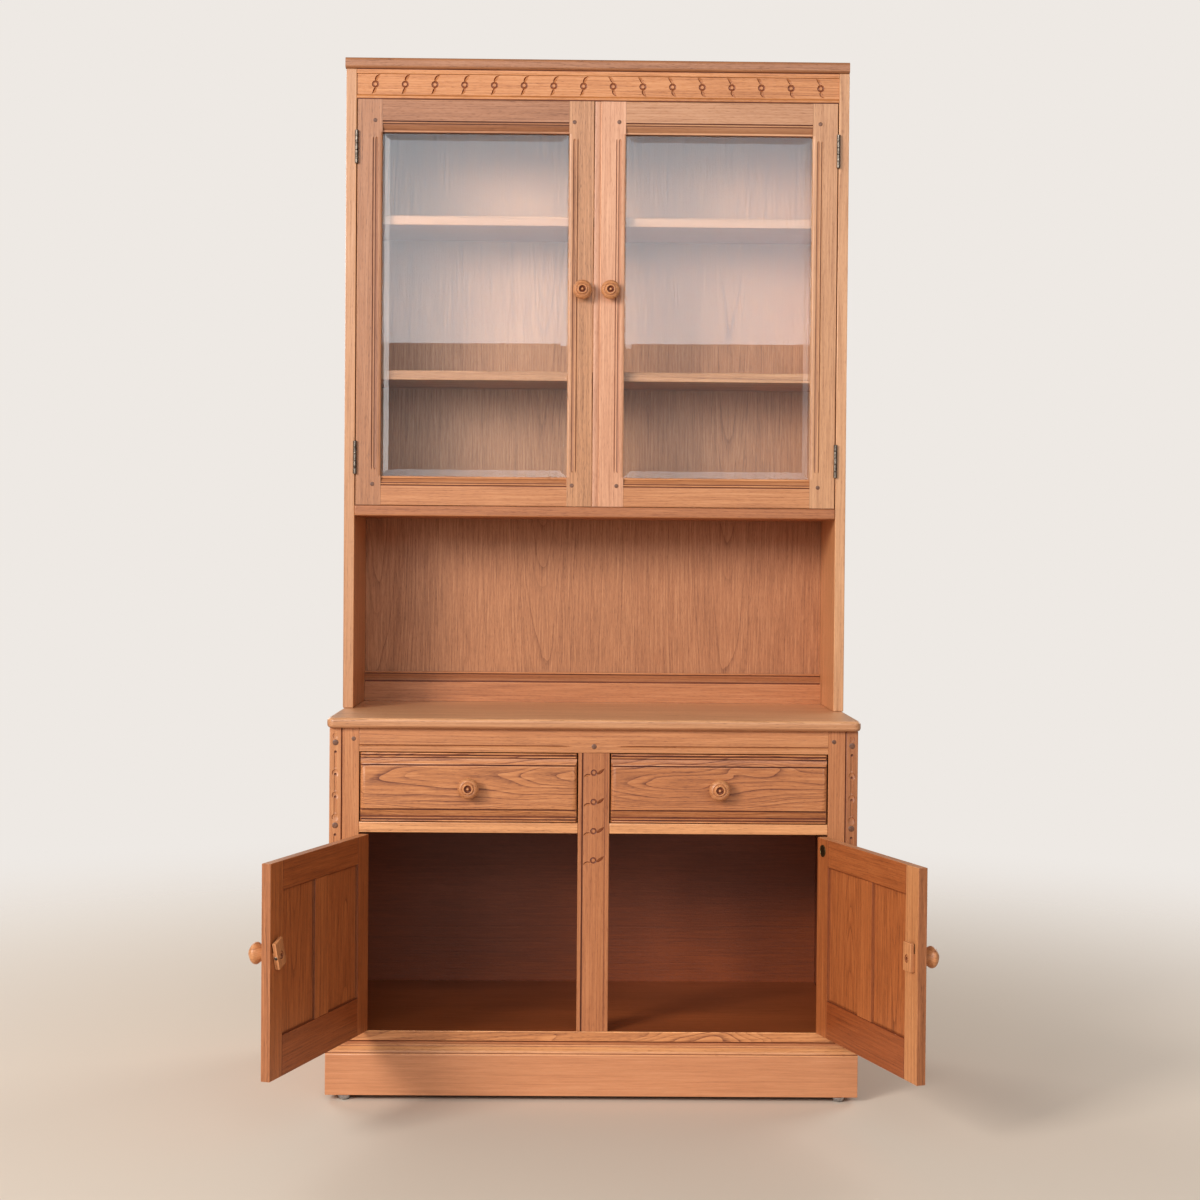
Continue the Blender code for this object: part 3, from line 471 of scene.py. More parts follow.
def gouge(stations, face_y, section):
    """A cutter along a line on a front face. A station is x, z, half width and depth.

    A fifth value sets the painted shade of the walls up to the next station.
    """
    # Walls and caps without a value of their own get painted shade.
    points, painted_shadings = points_and_shading(section, PAINTED_SHADE)
    points = [(-1.0, None)] + points + [(1.0, None)]
    painted_shadings = [PAINTED_SHADE] + painted_shadings + [PAINTED_SHADE]
    shape = bmesh.new()
    layer = shape.faces.layers.float.new("stain")
    rings = []
    last = len(stations) - 1
    for i, (x, z, half, depth, *_) in enumerate(stations):
        before, after = stations[max(i - 1, 0)], stations[min(i + 1, last)]
        way = Vector((after[0] - before[0], after[1] - before[1])).normalized()
        side = Vector((way.y, -way.x))
        ring = []
        for share, drop in points:
            y = face_y - DOWN_CUT if drop is None else face_y + drop * depth
            ring.append(shape.verts.new((x + side.x * half * share, y, z + side.y * half * share)))
        rings.append(ring)
    count = len(points)
    for cap in (rings[0], list(reversed(rings[-1]))):
        shape.faces.new(cap)[layer] = PAINTED_SHADE
    for low, high, station in zip(rings, rings[1:], stations):
        for i in range(count):
            j = (i + 1) % count
            face = shape.faces.new((low[i], low[j], high[j], high[i]))
            face[layer] = station[4] if len(station) > 4 else painted_shadings[i]
    return solid("gouge", shape)


def gouge_mm(stations, face_y, section):
    """A gouge whose stations are given in millimetres, apart from their stains."""
    return gouge([(*(value * MM for value in station[:4]), *station[4:])
                  for station in stations], face_y, section)


def straight_gouge(start, end, half, depth, face_y, section):
    """A stopped groove between two points that dies away at its ends."""
    run_out = 0.005
    start, end = Vector(start), Vector(end)
    way = (end - start).normalized()
    length = (end - start).length
    places = ((0.0, 0.15, 0.05), (run_out * 0.4, 0.75, 0.6), (run_out, 1.0, 1.0),
              (length - run_out, 1.0, 1.0), (length - run_out * 0.4, 0.75, 0.6),
              (length, 0.15, 0.05))
    stations = []
    for distance, wide, deep in places:
        point = start + way * distance
        stations.append((point.x, point.y, half * wide, depth * deep))
    return gouge(stations, face_y, section)


def cut(obj, *cutters):
    """Cut the cutters out of a board and leave the plain result."""
    for cutter in cutters:
        step = obj.modifiers.new("cut", "BOOLEAN")
        step.operation = "DIFFERENCE"
        step.solver = "EXACT"
        step.material_mode = "INDEX"
        step.use_self = True
        step.object = cutter
    keep_result(obj)
    discard(*cutters)
    shape = bmesh.new()
    shape.from_mesh(obj.data)
    bmesh.ops.remove_doubles(shape, verts=shape.verts, dist=0.000004)
    bmesh.ops.dissolve_degenerate(shape, edges=shape.edges, dist=0.000002)
    shape.to_mesh(obj.data)
    shape.free()
    shade_edges(obj)
    return obj


def join(*parts):
    first = parts[0]
    if len(parts) > 1:
        with bpy.context.temp_override(active_object=first, selected_editable_objects=list(parts)):
            bpy.ops.object.join()
    return first


def move(obj, matrix):
    obj.data.transform(matrix)
    return obj


def read(items, name, width, kind=np.float32):
    """One value of every vertex, face or corner of a mesh, as an array."""
    values = np.empty(len(items) * width, kind)
    items.foreach_get(name, values)
    return values.reshape(-1, width) if width > 1 else values


def write(mesh, name, kind, domain, values):
    if mesh.attributes.get(name):
        mesh.attributes.remove(mesh.attributes[name])
    field = "vector" if kind == "FLOAT_VECTOR" else "value"
    mesh.attributes.new(name, kind, domain).data.foreach_set(field, values.ravel())


def lay_grain(obj, along, face, seed, cut_from="slash", tone=0.0, tip=None, heart=None,
              pith=None, joints=(), spread=0.05):
    """Say how a board was sawn: grain runs along one axis, and its show face is square to another.

    slash boards have arched figure, rift boards slanting lines and quartered ones straight lines.
    Joints are the places across it where one board of a glued panel ends and the next starts.
    """
    rnd = random.Random(seed)
    mesh = obj.data
    points = read(mesh.vertices, "co", 3)
    low, high = points.min(0), points.max(0)
    centres = read(mesh.polygons, "center", 3)
    a, f = AXES.index(along), AXES.index(face)
    c = 3 - a - f
    face_of_corner = np.repeat(np.arange(len(mesh.polygons)),
                               read(mesh.polygons, "loop_total", 1, np.int32))
    spots = points[read(mesh.loops, "vertex_index", 1, np.int32)]
    board_of_corner = np.searchsorted(np.array(joints), centres[:, c])[face_of_corner]
    bounds = [float(low[c]), *joints, float(high[c])]
    grain = np.empty((len(spots), 3), np.float32)
    level = np.empty(len(spots), np.float32)
    for number, (near, far) in enumerate(zip(bounds, bounds[1:])):
        here = board_of_corner == number
        width = far - near
        if cut_from == "slash":
            offset, deep, slope = rnd.uniform(-0.2, 0.2) * width, rnd.uniform(0.028, 0.05), 0.045
        elif cut_from == "rift":
            offset, deep, slope = rnd.choice((-1, 1)) * rnd.uniform(0.05, 0.09), 0.05, 0.012
        else:
            offset, deep, slope = rnd.choice((-1, 1)) * rnd.uniform(0.14, 0.3), 0.02, 0.004
        offset = offset if heart is None else heart - (near + far) / 2
        deep = deep if pith is None else pith
        slope *= rnd.choice((-1, 1)) if tip is None else tip
        run = spots[here, a] - (low[a] + high[a]) / 2
        grain[here, 0] = run + rnd.uniform(0.0, 40.0)
        grain[here, 1] = spots[here, c] - (near + far) / 2 - offset
        grain[here, 2] = spots[here, f] - low[f] + deep + slope * run
        level[here] = tone + rnd.uniform(-spread, spread)
    write(mesh, "grain", "FLOAT_VECTOR", "CORNER", grain)
    write(mesh, "tone", "FLOAT", "CORNER", level)
    reach = EASE * 0.8
    at_edge = ((centres - low < reach) | (high - centres < reach)).sum(1) > 1
    write(mesh, "worn", "FLOAT", "FACE", at_edge.astype(np.float32))
    return obj


def rip(obj, axis, places):
    """Divide the faces of a glued panel along its joints."""
    shape = bmesh.new()
    shape.from_mesh(obj.data)
    square = Vector([1.0 if letter == axis else 0.0 for letter in AXES])
    for place in places:
        bmesh.ops.bisect_plane(shape, geom=[*shape.verts, *shape.edges, *shape.faces],
                               dist=0.000001, plane_co=square * place, plane_no=square)
    shape.to_mesh(obj.data)
    shape.free()


def paint_shading_where(obj, amount, test):
    """Paint shade or a highlight on the faces that pass a test."""
    mesh = obj.data
    layer = mesh.attributes.get("stain") or mesh.attributes.new("stain", "FLOAT", "FACE")
    for face in mesh.polygons:
        if test(face.center, face.normal):
            layer.data[face.index].value = amount


def settle(obj, name, body, slot, *nodes):
    obj.name = name
    obj.data.name = name
    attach(obj, body)
    if nodes:
        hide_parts(*nodes)


def plain_board(node, finish, ease, grain, ending="_board", slot="waxed_elm", **sawn):
    """A board of the carcase that is eased and nothing more, in place of its solid."""
    board = plank(*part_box(node), finish, ease)
    lay_grain(board, *grain, **sawn)
    settle(board, node + ending, "carcase", slot, node)


def paint_where(obj, finish, test):
    """Give the faces that pass a test another finish."""
    obj.data.materials.append(finish)
    index = len(obj.data.materials) - 1
    for face in obj.data.polygons:
        if test(face.center, face.normal):
            face.material_index = index


# Trees for what repeats

def new_tree(name, **inputs):
    """A tree with its inputs and one output, and the identifier of each input by its name."""
    tree = bpy.data.node_groups.new(name, "GeometryNodeTree")
    keys = {}
    for label, kind in {"Geometry": "Geometry", **inputs}.items():
        socket = tree.interface.new_socket(label.replace("_", " "), in_out="INPUT",
                                           socket_type="NodeSocket" + kind)
        keys[label] = socket.identifier
    tree.interface.new_socket("Geometry", in_out="OUTPUT", socket_type="NodeSocketGeometry")
    return tree, keys, tree.nodes.new("NodeGroupInput").outputs


def end_tree(tree, given, placed):
    """Make the instances real, in the finish that is handed in."""
    real = add(tree, "GeometryNodeRealizeInstances", {0: placed.outputs[0]})
    done = add(tree, "GeometryNodeSetMaterial",
               {"Geometry": real.outputs[0], "Material": given["Finish"]})
    tree.links.new(done.outputs[0], tree.nodes.new("NodeGroupOutput").inputs[0])


def carved_row_tree():
    """A row of one carved motif: a ring groove, with the flicks that are handed in."""
    tree, keys, given = new_tree(
        "carved_row", Count="Int", First="Vector", Step="Vector", Ring_Radius="Float",
        Groove_Radius="Float", Stain="Float", Flicks="Object", Finish="Material")
    row = add(tree, "GeometryNodeMeshLine", {
        "Count": given["Count"], "Start Location": given["First"], "Offset": given["Step"]})
    ring = add(tree, "GeometryNodeCurvePrimitiveCircle",
               {"Resolution": 28, "Radius": given["Ring Radius"]})
    tool = add(tree, "GeometryNodeCurvePrimitiveCircle",
               {"Resolution": 8, "Radius": given["Groove Radius"]})
    groove = add(tree, "GeometryNodeCurveToMesh",
                 {"Curve": ring.outputs[0], "Profile Curve": tool.outputs[0]})
    # The ring groove gets painted shade of the amount handed in.
    shaded_groove = add(tree, "GeometryNodeStoreNamedAttribute",
                  {"Geometry": groove.outputs[0], "Name": "stain", "Value": given["Stain"]},
                  data_type="FLOAT", domain="FACE")
    upright = add(tree, "GeometryNodeTransform",
                  {"Geometry": shaded_groove.outputs[0], "Rotation": (math.pi / 2, 0.0, 0.0)})
    flicks = add(tree, "GeometryNodeObjectInfo", {"Object": given["Flicks"]})
    motif = tree.nodes.new("GeometryNodeJoinGeometry")
    tree.links.new(upright.outputs[0], motif.inputs[0])
    tree.links.new(flicks.outputs["Geometry"], motif.inputs[0])
    placed = add(tree, "GeometryNodeInstanceOnPoints",
                 {"Points": row.outputs[0], "Instance": motif.outputs[0]})
    end_tree(tree, given, placed)
    return tree, keys


def fixings_tree():
    """One fixing, such as a peg or a screw, set on each point by its size and facing."""
    tree, keys, given = new_tree("fixings", Fixing="Object", Finish="Material")
    pattern = add(tree, "GeometryNodeObjectInfo", {"Object": given["Fixing"]})
    facing = add(tree, "GeometryNodeInputNamedAttribute", {"Name": "facing"},
                 data_type="FLOAT_VECTOR")
    size = add(tree, "GeometryNodeInputNamedAttribute", {"Name": "size"}, data_type="FLOAT")
    turn = add(tree, "FunctionNodeAlignRotationToVector", {"Vector": facing.outputs[0]}, axis="Z")
    placed = add(tree, "GeometryNodeInstanceOnPoints", {
        "Points": given["Geometry"], "Instance": pattern.outputs["Geometry"],
        "Rotation": turn.outputs[0], "Scale": size.outputs[0]})
    end_tree(tree, given, placed)
    return tree, keys


CARVED_ROW = carved_row_tree()
FIXINGS = fixings_tree()


def grow(tree_and_keys, mesh, **values):
    """Run a tree on a mesh and keep its result as a plain mesh."""
    tree, keys = tree_and_keys
    obj = show("grown", mesh)
    modifier = obj.modifiers.new("tree", "NODES")
    modifier.node_group = tree
    for label, value in values.items():
        modifier[keys[label]] = value
    return keep_result(obj)


def fixings(pattern, finish, places):
    """Places are (point, facing, size)."""
    mesh = bpy.data.meshes.new("fixings")
    mesh.from_pydata([point for point, _, _ in places], [], [])
    facing = mesh.attributes.new("facing", "FLOAT_VECTOR", "POINT")
    facing.data.foreach_set("vector", [value for _, way, _ in places for value in way])
    size = mesh.attributes.new("size", "FLOAT", "POINT")
    size.data.foreach_set("value", [value for _, _, value in places])
    made = grow(FIXINGS, mesh, Fixing=pattern, Finish=finish)
    for spent in ("facing", "size"):
        if made.data.attributes.get(spent):
            made.data.attributes.remove(made.data.attributes[spent])
    shade_edges(made, 40.0, flats=False)
    return made


def face_outwards(obj):
    shape = bmesh.new()
    shape.from_mesh(obj.data)
    bmesh.ops.remove_doubles(shape, verts=shape.verts, dist=0.000002)
    bmesh.ops.recalc_face_normals(shape, faces=shape.faces)
    shape.to_mesh(obj.data)
    shape.free()
    return obj


def motif_row(flicks, count, first, step, ring, groove):
    # Its ring groove gets 0.9 of painted shade.
    row = grow(CARVED_ROW, bpy.data.meshes.new("row"), Count=count, First=first, Step=step,
               Ring_Radius=ring, Groove_Radius=groove, Flicks=flicks, Finish=WAXED, Stain=0.9)
    return face_outwards(row)


# A peg and a screw one unit across, pointing up, which the trees scale and place
PEG = turned([(0.0, -2.0), (0.5, -2.0), (0.5, 0.012), (0.47, 0.035), (0.36, 0.055),
              (0.18, 0.066), (0.0, 0.07)], 20, (0.0, 0.0, 0.0), (0, 0, 1))
SCREW = cut(turned([(0.0, -0.3), (0.28, -0.3), (0.5, -0.02), (0.5, 0.0), (0.42, 0.07),
                    (0.24, 0.11), (0.0, 0.12)], 20, (0.0, 0.0, 0.0), (0, 0, 1)),
            plank((-0.6, -0.07, 0.0), (0.6, 0.07, 0.3), ease=0))
FORWARD = (0.0, -1.0, 0.0)


# Base

def dress_glides():
    for row in ("front", "back"):
        for hand in ("left", "right"):
            node = f"glide_{row}_{hand}"
            low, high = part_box(node)
            centre = (low + high) / 2
            top = high.z - low.z
            profile = [(0.0, 0.0)]
            profile += [(11 * MM * share, drop * MM) for share, drop in
                        ((0.28, 0.25), (0.50, 1.0), (0.70, 2.2), (0.86, 3.8), (0.96, 5.6),
                         (1.0, 7.4))]
            profile += [(11 * MM, top - 0.4 * MM), (10.6 * MM, top), (0.0, top)]
            glide = turned(profile, 32, (centre.x, centre.y, low.z), (0, 0, 1), GLIDE_METAL)
            settle(glide, node + "_nail", "carcase", "glide_steel", node)


def plinth_section(front, foot, top, depth):
    """The moulding that closes the foot: a small fillet, a swelled cove, and a lip."""
    # Painted shade in the quirks, painted highlights on the arrises and the lip.
    points = [(front, foot, PAINTED_HIGHLIGHT), (front, foot + 1.2 * MM, PAINTED_SHADE)]
    points += [(front + depth * share, foot + rise * MM, stain) for share, rise, stain in
               ((0.04, 2.0, PAINTED_SHADE), (0.16, 2.2, 0.5), (0.17, 3.0, 0.1), (0.22, 5.2, 0.0),
                (0.34, 7.6, 0.0), (0.52, 9.8, -0.1), (0.72, 11.4, PAINTED_HIGHLIGHT), (0.86, 12.2, PAINTED_SHADE),
                (0.87, 13.2, 0.4), (0.93, 14.2, PAINTED_HIGHLIGHT))]
    points += [(front + depth * 0.99, top - 0.2 * MM), (front + depth, top)]
    return points + [(front + depth, foot)]


def dress_plinth():
    low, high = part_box("plinth")
    ring_top = 0.0850
    body = plank(low, (high.x, high.y, ring_top), WAXED_PLAIN, ease=0.0012)
    wall = 0.022
    well = plank((low.x + wall, low.y + wall, low.z - 0.01),
                 (high.x - wall, high.y - wall, ring_top + 0.01), ease=0)
    cut(body, well)
    lay_grain(body, "X", "Y", 11, "rift", tone=-0.10)
    # Painted highlight on the top front arris.
    paint_shading_where(body, PAINTED_HIGHLIGHT, lambda c, n: n.z > 0.3 and n.y < -0.3)
    deep = 14.4 * MM - 0.3 * MM
    side_deep = 3.4 * MM - 0.1 * MM
    front = moulding(
        plinth_section(low.y, ring_top, high.z, deep), low.x, high.x, "X", WAXED,
        mitre=lambda end, y, z: -end * (y - low.y) / deep * side_deep)
    lay_grain(front, "X", "Y", 12, "quarter", tone=0.24)
    strips = [front]
    for sign, edge in ((-1, low.x), (1, high.x)):
        section = [(edge - sign * point[0], *point[1:])
                   for point in plinth_section(0.0, ring_top, high.z, side_deep)]
        strip = moulding(
            section, low.y, high.y, "Y", WAXED,
            mitre=lambda end, x, z, e=edge: abs(x - e) / side_deep * deep if end < 0 else 0.0)
        lay_grain(strip, "Y", "X", 13 + sign, "quarter")
        strips.append(strip)
    settle(join(body, *strips), "plinth_frame", "carcase", "waxed_elm", "plinth")


def edge_carving(rows):
    """One stretch of a side's front edge, below its peg: holes, slots and dishes."""
    cutters = []
    holes = (-17.0, -58.0, -99.0)[:rows]
    # Painted shade: the holes are dark inside, and each dish is darker at its upper end, which
    # faces down.
    for drop_z in holes:
        cutters.append(turned([(0.0, -2 * MM), (2.5 * MM, -2 * MM), (2.4 * MM, 3.1 * MM),
                               (1.2 * MM, 3.5 * MM), (0.0, 3.6 * MM)], 16,
                              (0.0, 0.0, drop_z * MM), (0, 1, 0), stain=1.0))
        end = drop_z - 32.5
        cutters.append(gouge_mm([(0.0, end, 1.6, 0.3), (0.0, end + 1.2, 2.4, 1.0),
                                 (0.0, end + 4.0, 2.6, 1.6), (0.0, drop_z, 2.6, 1.8)], 0.0, SLOT))
    for dish_z in [hole + 3.0 for hole in holes[1:]] + ([-136.0] if rows == 3 else []):
        cutters.append(gouge_mm([
            (0.0, dish_z - 7.5, 3.4, 0.1), (0.0, dish_z - 3.5, 5.6, 0.9), (0.0, dish_z, 6.3, 1.5),
            (0.0, dish_z + 3.0, 5.5, 1.7), (0.0, dish_z + 5.0, 3.6, 1.7, 0.8),
            (0.0, dish_z + 6.0, 1.8, 1.5)], 0.0, DISH))
    return join(*cutters)


def carve_edge(x, y, levels):
    """The carving of a whole edge, stretch by stretch. The lowest stretch is a short one."""
    made = []
    for rows, places in ((3, levels[:-1]), (2, levels[-1:])):
        pattern = edge_carving(rows)
        made.append(fixings(pattern, WAXED,
                            [((x, y, level), (0.0, 0.0, 1.0), 1.0) for level in places]))
        discard(pattern)
    top = levels[0] + 12 * MM
    made.append(gouge([(x, top - 5 * MM, 3.0 * MM, 0.1 * MM), (x, top, 5.4 * MM, 1.0 * MM),
                       (x, top + 5 * MM, 3.0 * MM, 0.2 * MM)], y, DISH))
    return face_outwards(join(*made))


def dress_base_sides():
    pegs = []
    levels = [0.650 - 0.151 * number for number in range(4)]
    for hand, sign in (("left", -1), ("right", 1)):
        node = f"base_side_{hand}"
        low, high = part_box(node)
        x = (low.x + high.x) / 2
        side = plank(low, high, WAXED, ease=0.0012)
        pegs += [((x, low.y, level), FORWARD, 11.0 * MM) for level in levels]
        cut(side, carve_edge(x, low.y, levels))
        lay_grain(side, "Z", "X", 20 + sign, "slash", tip=1)
        paint_where(side, STAINED, lambda c, n, s=sign: n.x * s < -0.9 and c.y > -0.0143)
        # Painted shade: the front edge is darker, more on the right side, away from the light, and
        # the inner front arris is dark.
        paint_shading_where(side, 0.38 + 0.18 * sign,
                    lambda c, n, front=low.y: n.y < -0.2 and c.y < front + 2.4 * MM)
        paint_shading_where(side, 1.0, lambda c, n, s=sign: n.x * s < -0.3 and n.y < -0.3)
        settle(side, node + "_board", "carcase", "waxed_elm", node)
    return pegs


def dress_base_frame():
    """Stiles, rails and muntin of the base's face frame."""
    for hand, sign in (("left", -1), ("right", 1)):
        node = f"base_stile_{hand}"
        low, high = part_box(node)
        inner, outer = (low.x, high.x) if sign > 0 else (high.x, low.x)
        # Painted highlight on the inner arris, painted shade on the outer chamfer beside the side
        # board.
        section = [(inner, high.y), (inner, low.y + 0.8 * MM, PAINTED_HIGHLIGHT),
                   (inner + sign * 0.8 * MM, low.y), (outer - sign * 1.4 * MM, low.y, 1.0),
                   (outer, low.y + 2.4 * MM, 1.0), (outer, high.y)]
        stile = moulding(section, low.z, high.z, "Z", WAXED)
        lay_grain(stile, "Z", "Y", 30 + sign, "rift", tone=-0.20)
        settle(stile, node + "_board", "carcase", "waxed_elm", node)
        plain_board(f"drawer_rail_{hand}", WAXED, 0.0013, ("X", "Y", 33 + sign, "quarter"),
                    tone=0.20)
    low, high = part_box("base_top_rail")
    rail = plank(low, high, WAXED)
    # Painted shade on the groove's upper wall, which faces down.
    upper_wall = ((-1.0, 0.0, 1.0), (0.0, 1.0, 0.1), (1.0, 0.0))
    cutters = []
    for sign in (-1, 1):
        stations = [(0.440, 1.6, 2.0), (0.066, 1.6, 2.0), (0.050, 0.9, 1.1), (0.040, 0.15, 0.1)]
        stations = [(sign * x, TOP_RAIL_GROOVE_Z, half * MM, depth * MM)
                    for x, half, depth in stations]
        if sign > 0:
            stations.reverse()
        cutters.append(gouge(stations, low.y, upper_wall))
    cut(rail, *cutters)
    lay_grain(rail, "X", "Y", 36, "rift", tone=-0.15)
    settle(rail, "base_top_rail_board", "carcase", "waxed_elm", "base_top_rail")
    low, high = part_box("base_bottom_rail")
    # Painted shade on the lower front chamfer and the step at the top, a painted highlight on the
    # arris below that step.
    section = [(high.y, low.z), (low.y + 0.6 * MM, low.z, PAINTED_SHADE), (low.y, low.z + 0.8 * MM),
               (low.y, high.z - 2.0 * MM, PAINTED_HIGHLIGHT), (low.y + 0.4 * MM, high.z - 1.4 * MM, 1.0),
               (low.y + 2.0 * MM, high.z - 0.6 * MM, 1.0), (low.y + 2.0 * MM, high.z),
               (high.y, high.z)]
    rail = moulding(section, low.x, high.x, "X", WAXED)
    lay_grain(rail, "X", "Y", 37, "quarter", tone=-0.26)
    settle(rail, "base_bottom_rail_board", "carcase", "waxed_elm", "base_bottom_rail")
    dress_muntin()


def dress_muntin():
    """The middle post: a strip each side, grooves, and a crowned face carved with four motifs."""
    low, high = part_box("base_muntin")
    strip, groove = 7.0 * MM, 2.4 * MM
    left, right = low.x + strip, high.x - strip
    crown = 1.1 * MM
    floor = low.y + 2.6 * MM
    # Painted shade in the grooves and on the crown's right edge, painted highlights on the
    # arrises, and the crown a touch lighter.
    section = [(low.x, high.y), (low.x, low.y + 0.8 * MM), (low.x + 0.8 * MM, low.y),
               (left - 0.6 * MM, low.y, PAINTED_SHADE), (left, low.y + 0.6 * MM, 1.0), (left, floor, 1.0),
               (left + groove, floor, 1.0)]
    span = right - left - 2 * groove
    for step in range(13):
        share = step / 12
        sag = crown * (2 * share - 1) ** 2
        section.append((left + groove + span * share, low.y + 0.1 * MM + sag,
                        0.6 if step == 12 else -0.04))
    section += [(right - groove, low.y + 1.5 * MM, 0.5), (right, low.y + 1.5 * MM, 0.3),
                (right, low.y + 0.6 * MM, PAINTED_HIGHLIGHT), (right + 0.6 * MM, low.y),
                (high.x - 0.8 * MM, low.y), (high.x, low.y + 0.8 * MM), (high.x, high.y)]
    post = moulding(section, low.z, high.z, "Z", WAXED)
    left_flick = ((-17.9, -8.2, 0.9, 2.2), (-15.8, -6.2, 2.4, 3.2), (-12.8, -4.7, 2.9, 3.2),
                  (-9.0, -4.3, 2.4, 2.4), (-5.4, -4.3, 0.9, 1.0))
    right_flick = ((5.6, -2.4, 0.8, 0.8), (8.2, -1.0, 2.5, 2.1), (11.4, 1.1, 3.4, 2.8),
                   (15.2, 4.2, 3.1, 3.0), (19.2, 7.4, 0.8, 1.8))
    flicks = join(gouge_mm(left_flick, 0.0, CHIP), gouge_mm(right_flick, 0.0, LEAF_BACK))
    row = motif_row(flicks, 4, (0.0, low.y + 0.1 * MM, 0.598), (0.0, 0.0, -0.0533), 4.5 * MM,
                    1.5 * MM)
    cut(post, row)
    for face in post.data.polygons:
        if face.normal.y < -0.9:
            face.use_smooth = False
    discard(flicks)
    lay_grain(post, "Z", "Y", 41, "quarter", tone=-0.27)
    settle(post, "base_muntin_post", "carcase", "waxed_elm", "base_muntin")


def dress_base_inside():
    low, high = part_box("base_floor")
    floor = plank(low, high, STAINED, ease=0.0012)
    lay_grain(floor, "X", "Z", 51, "slash", tone=0.48)
    paint_where(floor, WAXED_FIGURED, lambda c, n: c.y < low.y + 0.0016)
    # The sill's front is made darker, and its top front arris gets a painted highlight.
    paint_shading_where(floor, 0.45, lambda c, n: c.y < low.y + 0.0016)
    paint_shading_where(floor, PAINTED_HIGHLIGHT, lambda c, n: n.z > 0.3 and n.y < -0.3)
    settle(floor, "base_floor_board", "carcase", "waxed_elm", "base_floor")
    plain_board("base_back", STAINED, 0.0005, ("X", "Y", 52, "slash"), slot="stained_ply",
                pith=0.02)
    plain_board("dust_board", STAINED, 0.0005, ("X", "Z", 53, "slash"), "_sheet", "stained_ply")
    plain_board("drawer_guide", RAW_WOOD, 0.0015, ("Y", "Z", 54, "quarter"), "_rail",
                "inside_elm")


def dress_worktop():
    """Four boards jointed edge to edge, rounded along the front and at both front corners."""
    low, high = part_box("worktop")
    radius = 14 * MM
    outline = [(high.x, high.y), (low.x, high.y)]
    outline += arc((low.x + radius, low.y + radius), radius, 180, 270, 10)
    outline += arc((high.x - radius, low.y + radius), radius, 270, 360, 10)
    top = moulding(outline, low.z, high.z, "Z", WORKTOP_WAX_SHEEN)
    bevelled(top, 0.0065, 5, 40.0)
    joints = [low.y + width for width in (0.115, 0.238, 0.358)]
    rip(top, "Y", joints)
    shade_edges(top, 40.0)
    # Its high tone adds to the painted sheen of the worktop finish.
    lay_grain(top, "X", "Z", 61, "rift", tone=0.21, joints=joints, spread=0.07)
    # Painted shade on the rounded front, darker towards its underside.
    paint_shading_where(top, 0.12, lambda c, n: n.y < -0.2 and n.z > 0.4)
    paint_shading_where(top, 0.40, lambda c, n: n.y < -0.2 and abs(n.z) <= 0.4)
    paint_shading_where(top, 0.60, lambda c, n: n.y < -0.2 and n.z < -0.4)
    settle(top, "worktop_board", "carcase", "waxed_elm", "worktop")


# Drawers

def drawer_section(front, back, low, high):
    """From each edge inwards: bead, groove, fillet, rising hollow, quirk and field."""
    def rows(edge, way):
        def place(depth, inwards, stain=0.0):
            return (front + depth * MM, edge + way * inwards * MM, stain)

        # Painted shade in the groove and the quirks, painted highlights on the bead and the
        # arrises, and the hollow lighter where it rises.
        rail = [place(4.2, 0.0, 0.4), place(2.4, 0.15, PAINTED_HIGHLIGHT)]
        rail += [place(2.4 - 1.1 * math.sin(math.pi * step / 6),
                       1.55 - 1.4 * math.cos(math.pi * step / 6), 1.0 if step == 6 else PAINTED_HIGHLIGHT)
                 for step in range(1, 7)]
        rail += [place(4.2, 3.3, 1.0), place(4.2, 5.1, 1.0), place(2.0, 5.5, -0.15),
                 place(1.8, 5.8, -0.15), place(1.8, 7.8, 0.7), place(5.6, 8.4, 1.0),
                 place(5.6, 9.9, 0.7)]
        rail += [place(5.4 - 4.5 * (step / 6) ** 1.5, 10.2 + 10.6 * step / 6,
                       1.0 if step == 6 else 0.10 - 0.30 * step / 6) for step in range(7)]
        return rail + [place(4.0, 21.0, 1.0), place(4.0, 23.1, 1.0), place(0.6, 23.5, PAINTED_HIGHLIGHT),
                       place(0.1, 24.2, -0.15), place(0.0, 25.0)]
    return ([(back, low)] + rows(low, 1) + flipped(rows(high, -1)) + [(back, high)])


def end_curve(edge, sign, front, spare):
    """What is cut off an end of the drawer front, so that it falls away in a full curve."""
    curve = ((9.0, 0.0), (6.0, 0.4), (3.6, 1.2), (1.8, 2.5), (0.6, 4.0), (0.0, 5.6))
    points = [(edge + sign * spare, front - spare), (edge - sign * 9.0 * MM, front - spare)]
    # A faint painted highlight on the curved ends.
    points += [(edge - sign * inset * MM, front + depth * MM, -0.05) for inset, depth in curve]
    return points + [(edge + sign * spare, front + 5.6 * MM)]


